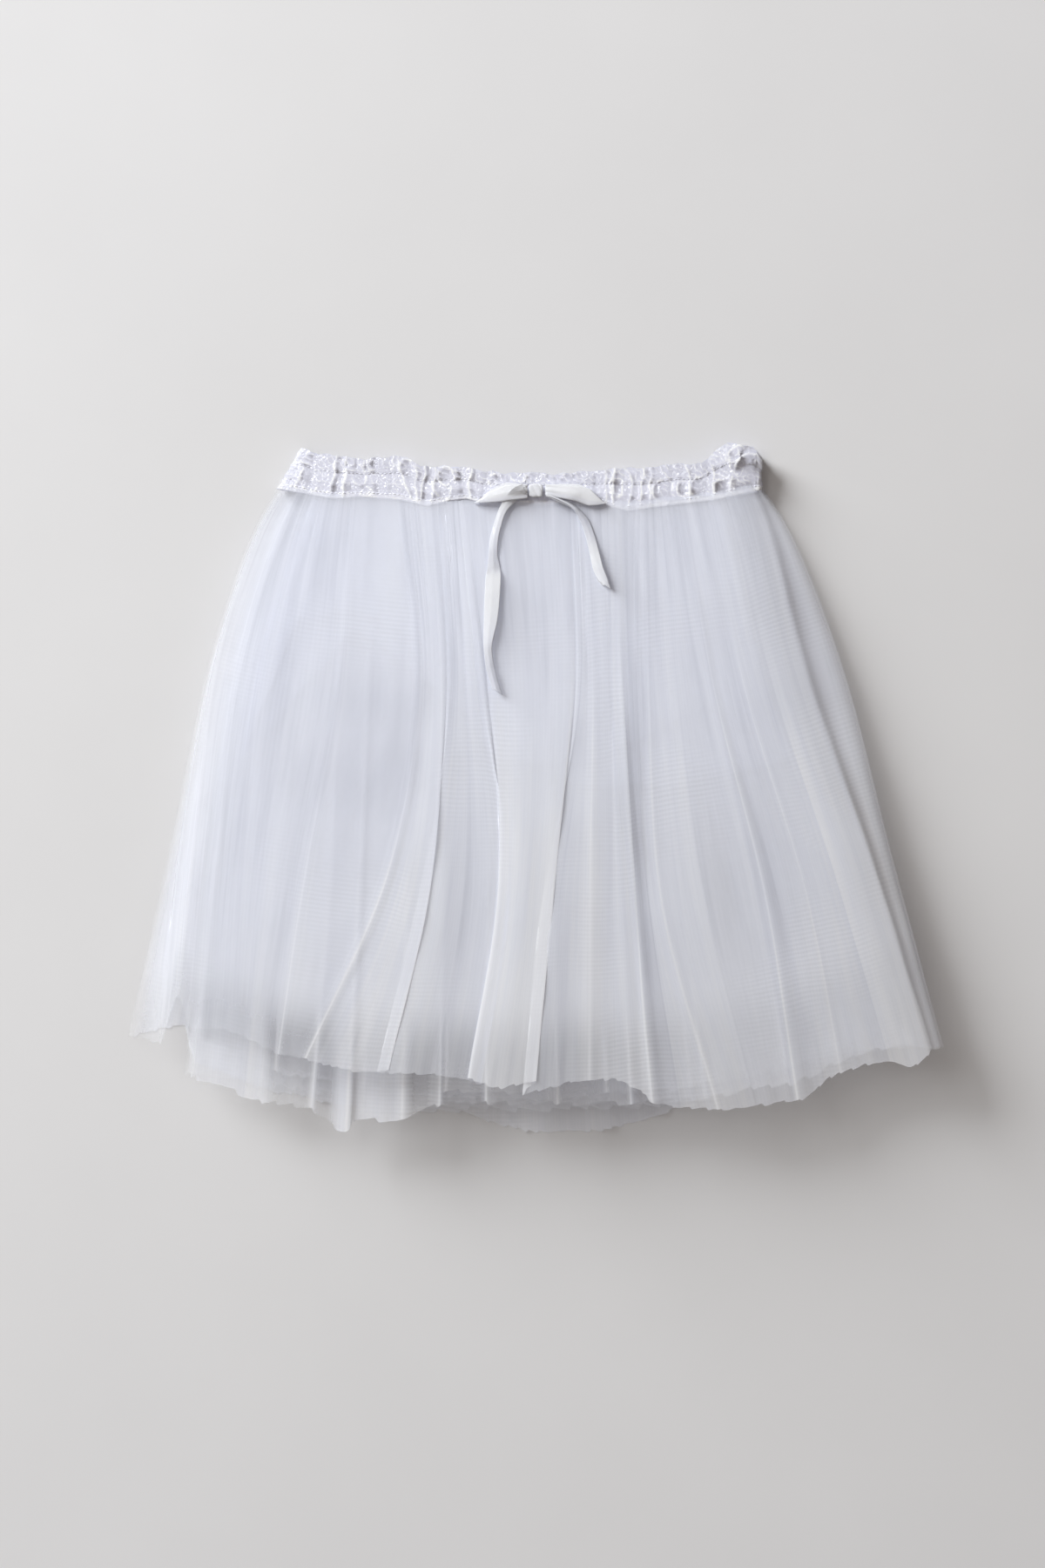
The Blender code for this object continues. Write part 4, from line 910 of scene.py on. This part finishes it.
def bandPoints(t):
    # the section is a flattened ring: the front, a half ellipse, the back and another half ellipse
    sideCount, frontCount, backCount = band["sideColumns"], band["frontColumns"], band["backColumns"]
    left = band["left"][0] + t * (band["left"][1] - band["left"][0])
    right = band["right"][0] + t * (band["right"][1] - band["right"][0])
    span = right - left - 2 * band["end"]
    s = np.linspace(0, 1, frontCount)[None, :]
    xFront = left + band["end"] + span * s
    foot, edge = (lookUp(xFront, band[key]) for key in ("foot", "edge"))
    for number, wave, high in band["edgeWaves"]:
        edge = edge + high * softNoise(xFront, 0 * t, number, wave)
    yFront = foot + t * (edge - foot)
    top = band["height"] + lookUp(t, band["bulge"]) - band["drop"] * np.abs(2 * s - 1) ** band["dropPower"]
    # the puff at the right end is a round bump with a swirl of a few arms on it
    reach = pocketReach(xFront, yFront, *band["puffAt"], *band["puffHalf"], 2)
    puff = bell(reach, 3)
    angle = np.arctan2(yFront - band["puffAt"][1], xFront - band["puffAt"][0])
    swirl = np.sin(band["swirlArms"] * angle + band["swirlTwist"] * reach + band["swirlTurn"])
    relief = bandRelief(xFront, yFront, t)
    zFront = top + relief * (1 - band["puffFolds"] * puff)
    zFront = zFront + puff * (band["puffHeight"] + band["swirl"] * swirl)
    zFront = np.minimum(zFront, band["height"] + band["most"])
    a = np.linspace(np.pi / 2, -np.pi / 2, sideCount + 2)[None, 1:-1]
    b = np.linspace(0, 1, backCount)[None, :]
    xBack = right - band["end"] - span * b
    phase = 2 * np.pi * xBack / band["backWave"] + softNoise(xBack, 40 * t, 6, 40.0)
    zBack = band["backMiddle"] + band["backRise"] * np.sin(phase) * smooth(t / 0.1)
    zBack = np.maximum(zBack, band["backLeast"])
    parts = [(xFront, zFront)]
    ends = ((1, right, zFront[:, -1:], zBack[:, :1]), (-1, left, zFront[:, :1], zBack[:, -1:]))
    for way, x, high, down in ends:
        bend = a if way > 0 else a[:, ::-1]
        lump = 0.5 * softNoise(8 * bend + 0 * t, 26 * t + 0 * bend, 12 + way, 9.0)
        xSide = x - way * band["end"] * (1 - np.cos(bend)) + lump * np.cos(bend) * way - 0.5 * way
        zSide = (high + down) / 2 + (high - down) / 2 * np.sin(bend)
        parts.append((xSide, zSide))
        if way > 0:
            parts.append((xBack, zBack))
    x, z = (np.concatenate([part + 0 * t for part in row], axis=1) for row in zip(*parts))
    foot, edge = (lookUp(x, band[key]) for key in ("foot", "edge"))
    y = foot + t * (edge - foot)
    y[:, :frontCount] = yFront + 0.35 * relief * smooth((t - 0.66) / 0.2)
    return np.stack([x, y, z], axis=-1)


def paintedLightMark(points, t):
    # painted highlight where the surface bends down most, measured by its second differences along and across
    # the band. The strip below the channel gets painted highlight too, the folds, curls and pockets add
    # theirs and their painted shade, and only what faces up is marked
    x, y, z = np.moveaxis(points, 2, 0)
    run = lengths(np.roll(points, -1, axis=1) - points)[:, :, 0]
    along = (2 * z - np.roll(z, 1, axis=1) - np.roll(z, -1, axis=1)) / np.maximum(run, 0.25) ** 2
    across = np.zeros_like(z)
    across[1:-1] = (2 * z[1:-1] - z[2:] - z[:-2]) / band["rowStep"] ** 2
    bend = (np.roll(along, 1, axis=1) + 2 * along + np.roll(along, -1, axis=1)) / 4 + 0.7 * across
    paintedLightTone = smooth((bend - band["crestFrom"]) / (band["crestTo"] - band["crestFrom"]))
    paintedLightTone = band["crestWhite"] * paintedLightTone * np.clip(0.75 + 0.5 * bandNoise(x, y, 12, 12.0), 0.3, 1)
    strip = band["footWhite"] * (0.4 + 0.6 * smooth((x - 60) / 12)) * bell((t - 0.06) / 0.05)
    return np.clip(np.maximum(paintedLightTone, strip) + bandPaintedLight(x, y, t), -0.4, 1) * smooth((z - 4) / 3)


def addWaistband(material):
    # rows of the flattened ring from foot to edge, with its crest mark of painted highlight and shade
    t = np.linspace(0, 1, band["rows"])[:, None]
    points = bandPoints(t)
    piece = gridMesh("waistband_satin", points, clothPlaces(points), around=True,
                     marks={"crest": paintedLightMark(points, t)})
    softenNormals(piece, band["softened"])
    place(piece, "satin", material, "waistband")
    print("waistband", points.shape)
    return points


# the crest colour is the painted highlight
bandSatin = {"tint": (0.74, 0.742, 0.835), "crest": (0.985, 0.985, 0.995), "roughness": 0.5, "grain": 1.0,
             "scatter": 0.6, "coat": 0.8, "coatRoughness": 0.20, "crinkle": (230.0, 0.0045), "through": 0.3,
             "depth": 0.0008, "cover": 1.0}
satin = satinMaterial("gathered white satin", bandSatin)
bandGrid = addWaistband(satin)

# stitching: short raised threads along two lines of the band, front and back
stitching = {"every": 2.6, "span": (0.14, 0.86), "thick": 0.34, "lift": 0.16, "sides": 6,
             "taper": [0.35, 0.9, 1.0, 0.9, 0.35]}


def addStitches(name, row, material):
    # each stitch is a spindle between two places of the line: its sides are a circle times the taper
    line = np.concatenate([row, row[:1]])
    along = wayAlong(line)
    count, rings, sides = int(along[-1] / stitching["every"]), len(stitching["taper"]), stitching["sides"]
    places = np.arange(count)[:, None] + np.linspace(*stitching["span"], rings)[None, :]
    places = places * stitching["every"]
    middle = np.stack([np.interp(places, along, line[:, axis]) for axis in range(3)], axis=-1)
    ahead = unit(np.gradient(middle, axis=1))
    out = unit(np.cross(ahead, np.array([0.0, 1.0, 0.0])))
    side = np.cross(out, ahead)
    turn = 2 * np.pi * np.arange(sides) / sides
    wide = stitching["thick"] / 2 * np.array(stitching["taper"])[None, :, None, None]
    ring = out[:, :, None] * np.cos(turn)[:, None] + side[:, :, None] * np.sin(turn)[:, None]
    points = middle[:, :, None] + out[:, :, None] * stitching["lift"] + wide * ring
    i, r, c = np.meshgrid(np.arange(count), np.arange(rings - 1), np.arange(sides), indexing="ij")
    low, high = (i * rings + r) * sides, (i * rings + r + 1) * sides
    after = (c + 1) % sides
    quads = np.stack([low + c, low + after, high + after, high + c], axis=-1).reshape(-1, 4)
    ends = np.stack([np.arange(sides)[::-1], (rings - 1) * sides + np.arange(sides)])
    ends = (np.arange(count)[:, None, None] * rings * sides + ends).reshape(-1, sides)
    mesh = bpy.data.meshes.new(name)
    mesh.from_pydata(points.reshape(-1, 3) * mm, [], quads.tolist() + ends.tolist())
    place(newPiece(name, mesh), "satin", material)
    print(name, count, "stitches")


thread = mottledMaterial("white thread", 1800.0, 2.0, [(0.3, (0.78, 0.79, 0.84)), (0.7, (0.92, 0.92, 0.94))],
                         roughness=0.5)
for lineName, share in (("stitches_low", band["footAt"]), ("stitches_high", band["frillAt"])):
    addStitches(lineName, bandGrid[round(share * (band["rows"] - 1))], thread)

# the ribbon bow
ribbon = {
    "width": 10.0, "wall": 0.3, "rows": 190, "columns": 29, "kept": 0.75, "foldGap": 0.75, "tent": 0.35,
    "tentAt": -0.1, "sunk": 0.4, "slantRows": 14, "slant": 2.6, "loopRows": 15, "loopColumns": 46,
    "lowStrand": 0.5, "highStrand": 1.4, "crease": 0.45,
}
# the knot gets an even share of painted highlight
knot = {"at": (0.6, 183.4), "half": (4.5, 4.3), "height": 2.6, "rows": 40, "columns": 72, "white": 0.8}
loops = {
    "bow_loop_left": {"root": -4.6, "reach": (-37.5, -34.0), "rise": 3.9, "behind": 1.8,
                      "flat": (0.068, 0.010), "low": [(0, 178.6), (0.5, 176.2), (1, 175.6)],
                      "high": [(0, 187.0), (0.45, 186.6), (0.8, 182.5), (1, 177.6)]},
    "bow_loop_right": {"root": 6.6, "reach": (43.9, 41.5), "rise": 3.9, "behind": 1.2,
                       "flat": (0.077, 0.010),
                       "low": [(0, 180.6), (0.5, 176.6), (0.72, 173.8), (0.86, 174.2), (1, 175.4)],
                       "high": [(0, 187.2), (0.6, 186.0), (0.8, 183.6), (1, 177.0)]},
}
# tails, from the knot to the cut end: x, y, turn in degrees from lying flat, height above what it lies on,
# width, and how much painted highlight the satin gets there
tails = {
    "bow_tail_left": [
        (-6.5, 184.6, -20, 3.0, 7.0, 0.9), (-12.4, 181.2, -30, 2.6, 8.4, 0.8),
        (-19.2, 172.0, 2, 1.6, 5.2, 0.8), (-22.5, 162.8, 10, 0.9, 5.0, 0.7),
        (-24.8, 153.3, 12, 0.7, 5.4, 0.6), (-25.6, 144.0, -6, 0.5, 6.0, 0.4),
        (-25.2, 135.4, -10, 0.4, 8.4, 0.6), (-25.3, 129.0, 8, 0.4, 9.8, 0.95),
        (-26.0, 116.1, 6, 0.4, 9.8, 0.9), (-26.9, 103.1, 8, 0.4, 8.8, 0.8),
        (-28.2, 93.0, 10, 0.4, 6.6, 0.7), (-28.8, 85.0, -6, 0.5, 5.2, 0.6),
        (-27.6, 75.0, -14, 0.4, 5.6, 0.4), (-25.3, 65.9, -12, 0.4, 5.2, 0.25),
        (-23.0, 58.8, -10, 0.4, 5.0, 0.2),
    ],
    "bow_tail_right": [
        (7.0, 180.6, -56, 2.7, 4.0, 0.8), (14.0, 177.6, -66, 2.4, 3.6, 0.5),
        (23.2, 173.1, -56, 2.1, 4.0, 0.3), (28.2, 167.6, -28, 1.5, 4.8, 0.2),
        (31.5, 162.4, -16, 0.9, 5.8, 0.3), (34.6, 153.3, -8, 0.6, 6.0, 0.6),
        (37.2, 143.6, 8, 0.5, 6.2, 0.9), (39.4, 134.6, 12, 0.5, 6.6, 0.8),
        (42.9, 127.3, 8, 0.6, 5.0, 0.7), (45.0, 123.5, 0, 0.7, 2.4, 0.6),
    ],
}


def finishRibbon(piece, material, node):
    # the surface with half the wall added on each side
    place(piece, "ribbon", material, node)
    solid = piece.modifiers.new("wall", "SOLIDIFY")
    solid.thickness, solid.offset = ribbon["wall"] * mm, 0.0
    solid.use_even_offset = True


def addTail(name, rows, material):
    # a strip turned about its line, a tent shape across, its end cut at a slant. Where it shows narrower
    # than the ribbon, its right edge is turned under and pressed flat
    along = np.linspace(0, len(rows) - 1, ribbon["rows"])
    x, y, turn, lift, width, white = throughRows(rows, along).T
    turn = np.radians(turn)
    ground = np.where(y > seamY(x) - 2, band["height"], skirtTop(x, y))
    ground = np.maximum(ground, skirtTop(x, np.minimum(y, lie["seamMiddle"])))
    ground = np.convolve(np.pad(ground, 4, mode="edge"), np.full(9, 1 / 9), mode="valid")
    ahead = unit(np.gradient(np.stack([x, y], axis=-1), axis=0))
    wide = np.stack([-ahead[:, 1] * np.cos(turn), ahead[:, 0] * np.cos(turn), np.sin(turn)], axis=-1)
    thick = np.stack([ahead[:, 1] * np.sin(turn), -ahead[:, 0] * np.sin(turn), np.cos(turn)], axis=-1)
    # how far each column is along the section, from the turned edge's end, and the fold's place on it
    whole = np.maximum(ribbon["kept"] * ribbon["width"], width)[:, None]
    width, wander = width[:, None], np.arange(len(x))[:, None] * 0.8
    way = np.linspace(0, 1, ribbon["columns"])[None, :] * whole
    fold = whole - width
    w = np.where(way < fold, way - fold, fold - way) / width * 2 + 1
    w = np.minimum(w, 1 - 0.12 * (np.abs(way - fold) < 0.4))
    rise = ribbon["foldGap"] * smooth((way - fold + 0.5) / 1.0)
    off = w - ribbon["tentAt"]
    tent = ribbon["tent"] * np.clip(1 - np.abs(off) / (1 - np.sign(off) * ribbon["tentAt"]), 0, 1)
    rise = rise + tent * smooth((way - fold) / 0.8) + 0.10 * softNoise(5 * w, wander, 31, 17.0)
    middle = np.stack([x, y, ground + lift - ribbon["sunk"]], axis=-1)[:, None]
    points = middle + (w * width / 2)[:, :, None] * wide[:, None] + rise[:, :, None] * thick[:, None]
    last = (np.arange(len(x)) - len(x) + ribbon["slantRows"]) / ribbon["slantRows"]
    slant = smooth(last)[:, None] * (w * ribbon["slant"])
    points[:, :, :2] += slant[:, :, None] * ahead[:, None]
    # painted light: the given share of painted highlight, with painted shade on the side past the tent's peak
    white = white[:, None]
    white = white * (1 - (1 - white) * smooth(off / 0.3))
    piece = gridMesh(name + "_ribbon", points, clothPlaces(points)[:, :-1], marks={"crest": white})
    finishRibbon(piece, material, name)
    length = wayAlong(points[:, ribbon["columns"] // 2])[-1] * mm
    print(name, round(float(length), 3), "m of ribbon")


def addLoop(name, shape, material):
    # a flattened ring of ribbon: the upper strand bulges, and the lower one lies flat and peeps out above
    # it
    half = ribbon["loopColumns"]
    along = 0.5 - 0.5 * np.cos(np.pi * np.linspace(0, 1, half))
    along = np.concatenate([along, along[::-1][1:-1]])[None, :]
    share = np.linspace(0, 1, ribbon["loopRows"])[:, None]
    upper = (np.arange(along.shape[1]) < half)[None, :] + 0 * share
    tip = shape["reach"][0] + share * (shape["reach"][1] - shape["reach"][0])
    x = shape["root"] + along * (tip - shape["root"])
    low, high = (lookUp(along, shape[key]) for key in ("low", "high"))
    y = low + share * (high - low) + shape["behind"] * (1 - upper) * np.sin(np.pi * along) ** 1.5
    bulge = np.sin(np.pi * along ** 0.8) ** 0.8
    crown = 1 - 0.35 * (2 * share - 1) ** 2
    pinch = 0.30 * np.sin(2 * np.pi * 2.2 * share + 0.7) * (1 - along) ** 2
    z = upper * (ribbon["highStrand"] + (shape["rise"] - ribbon["highStrand"]) * bulge * crown + pinch)
    z = z + (1 - upper) * (ribbon["lowStrand"] + 0.3 * bulge)
    crease = ribbon["crease"] * softNoise(x, 2.2 * y, 17, 15.0) * bulge * upper
    points = np.stack([x, y, band["height"] + band["clear"] + z + crease], axis=-1)
    if tip[0, 0] < shape["root"]:
        points = points[:, ::-1]
    # painted shade along the lower edge and painted highlight away from it, the same all along it
    white = 0.55 + 0.4 * smooth((share - 0.15) / 0.3) + 0 * along
    piece = gridMesh(name + "_ribbon", points, clothPlaces(points), around=True, marks={"crest": white})
    finishRibbon(piece, material, name)
    print(name)


def addKnot(material):
    # a rounded square pad: each ring is a superellipse, with slanting wraps of ribbon pressed into it
    lift = np.linspace(0.02, np.pi - 0.02, knot["rows"])[:, None]
    turn = 2 * np.pi * np.arange(knot["columns"])[None, :] / knot["columns"]
    square = (np.abs(np.cos(turn)) ** 4 + np.abs(np.sin(turn)) ** 4) ** -0.25
    wide = np.sin(lift) ** 0.45 * square
    x, y = wide * np.cos(turn), wide * np.sin(turn)
    wraps = np.abs(np.sin(1.35 * np.pi * (x * 0.8 + 0.35 * y) + 0.5)) ** 0.5
    z = 0.5 * (1 - np.cos(lift)) * (0.86 + 0.14 * wraps)
    dent = 1 - 0.10 * (1 - wraps) * np.sin(lift)
    points = np.stack([knot["at"][0] + knot["half"][0] * x * dent, knot["at"][1] + knot["half"][1] * y * dent,
                       band["height"] + band["clear"] + knot["height"] * z], axis=-1)
    points = np.concatenate([points[:1].mean(axis=1, keepdims=True) + 0 * points[:1], points,
                             points[-1:].mean(axis=1, keepdims=True) + 0 * points[-1:]])
    piece = gridMesh("bow_knot_ribbon", points, clothPlaces(points), around=True,
                     marks={"crest": knot["white"] + 0 * points[:, :, 0]})
    weld = piece.modifiers.new("poles", "WELD")
    weld.merge_threshold = 0.01 * mm
    place(piece, "ribbon", material, "bow_knot")
    print("bow knot")


# the crest colour is the painted highlight
bowSatin = {"tint": (0.74, 0.75, 0.83), "crest": (0.92, 0.925, 0.95), "roughness": 0.5, "grain": 2.0,
            "scatter": 0.75, "coat": 0.4, "coatRoughness": 0.28, "crinkle": (110.0, 0.0020), "through": 0.4,
            "depth": 0.0006, "cover": 0.78}
ribbonSatin = satinMaterial("white ribbon satin", bowSatin)
addKnot(ribbonSatin)
for loopName, shape in loops.items():
    addLoop(loopName, shape, ribbonSatin)
for tailName, rows in tails.items():
    addTail(tailName, rows, ribbonSatin)

# floor, light and camera
studio = {"floorSize": 6.0, "paper": [(0.3, (0.700, 0.689, 0.684)), (0.7, (0.720, 0.709, 0.704))],
          "cameraAt": (-0.0076, 0.0024, 2.7), "lens": 100.0,
          "lamps": {"key": ((-4.05, 3.31, 1.60), 3.2, 730.0, (0.936, 0.97, 1.0)),
                    "top": ((-1.9, 0.7, 2.9), 1.0, 9.0, (1.0, 1.0, 1.0))},
          "skyColour": (0.985, 0.90, 0.85), "sky": 0.262}


def addFloor():
    # a flat square about the middle
    half = studio["floorSize"] / 2 / mm
    x, y = np.meshgrid(np.linspace(-half, half, 5), np.linspace(-half, half, 5))
    points = np.stack([x, y, 0 * x], axis=-1)
    floor = gridMesh("floor", points, points[:, :, :2])
    paper = mottledMaterial("pale floor", 6.0, 4.0, studio["paper"], roughness=0.85, specularIORLevel=0.15)
    floor.data.materials.append(paper)


def addStudio():
    # each round lamp turned to the middle, an even sky, and a camera that looks straight down
    for name, (at, wide, power, colour) in studio["lamps"].items():
        lamp = bpy.data.lights.new(name, "AREA")
        lamp.shape, lamp.size, lamp.energy, lamp.color = "DISK", wide, power, colour
        holder = bpy.data.objects.new(name, lamp)
        holder.location = at
        holder.rotation_euler = (-holder.location).to_track_quat("-Z", "Y").to_euler()
        scene.collection.objects.link(holder)
    world = bpy.data.worlds.new("studio")
    world.use_nodes = True
    sky = world.node_tree.nodes["Background"]
    sky.inputs["Color"].default_value = (*studio["skyColour"], 1.0)
    sky.inputs["Strength"].default_value = studio["sky"]
    scene.world = world
    eye = bpy.data.cameras.new("above")
    eye.lens, eye.sensor_width, eye.clip_end = studio["lens"], 36.0, 20.0
    camera = bpy.data.objects.new("above", eye)
    camera.location = studio["cameraAt"]
    scene.collection.objects.link(camera)
    scene.camera = camera
    scene.view_settings.view_transform = "Standard"


addFloor()
addStudio()
print("studio ready")
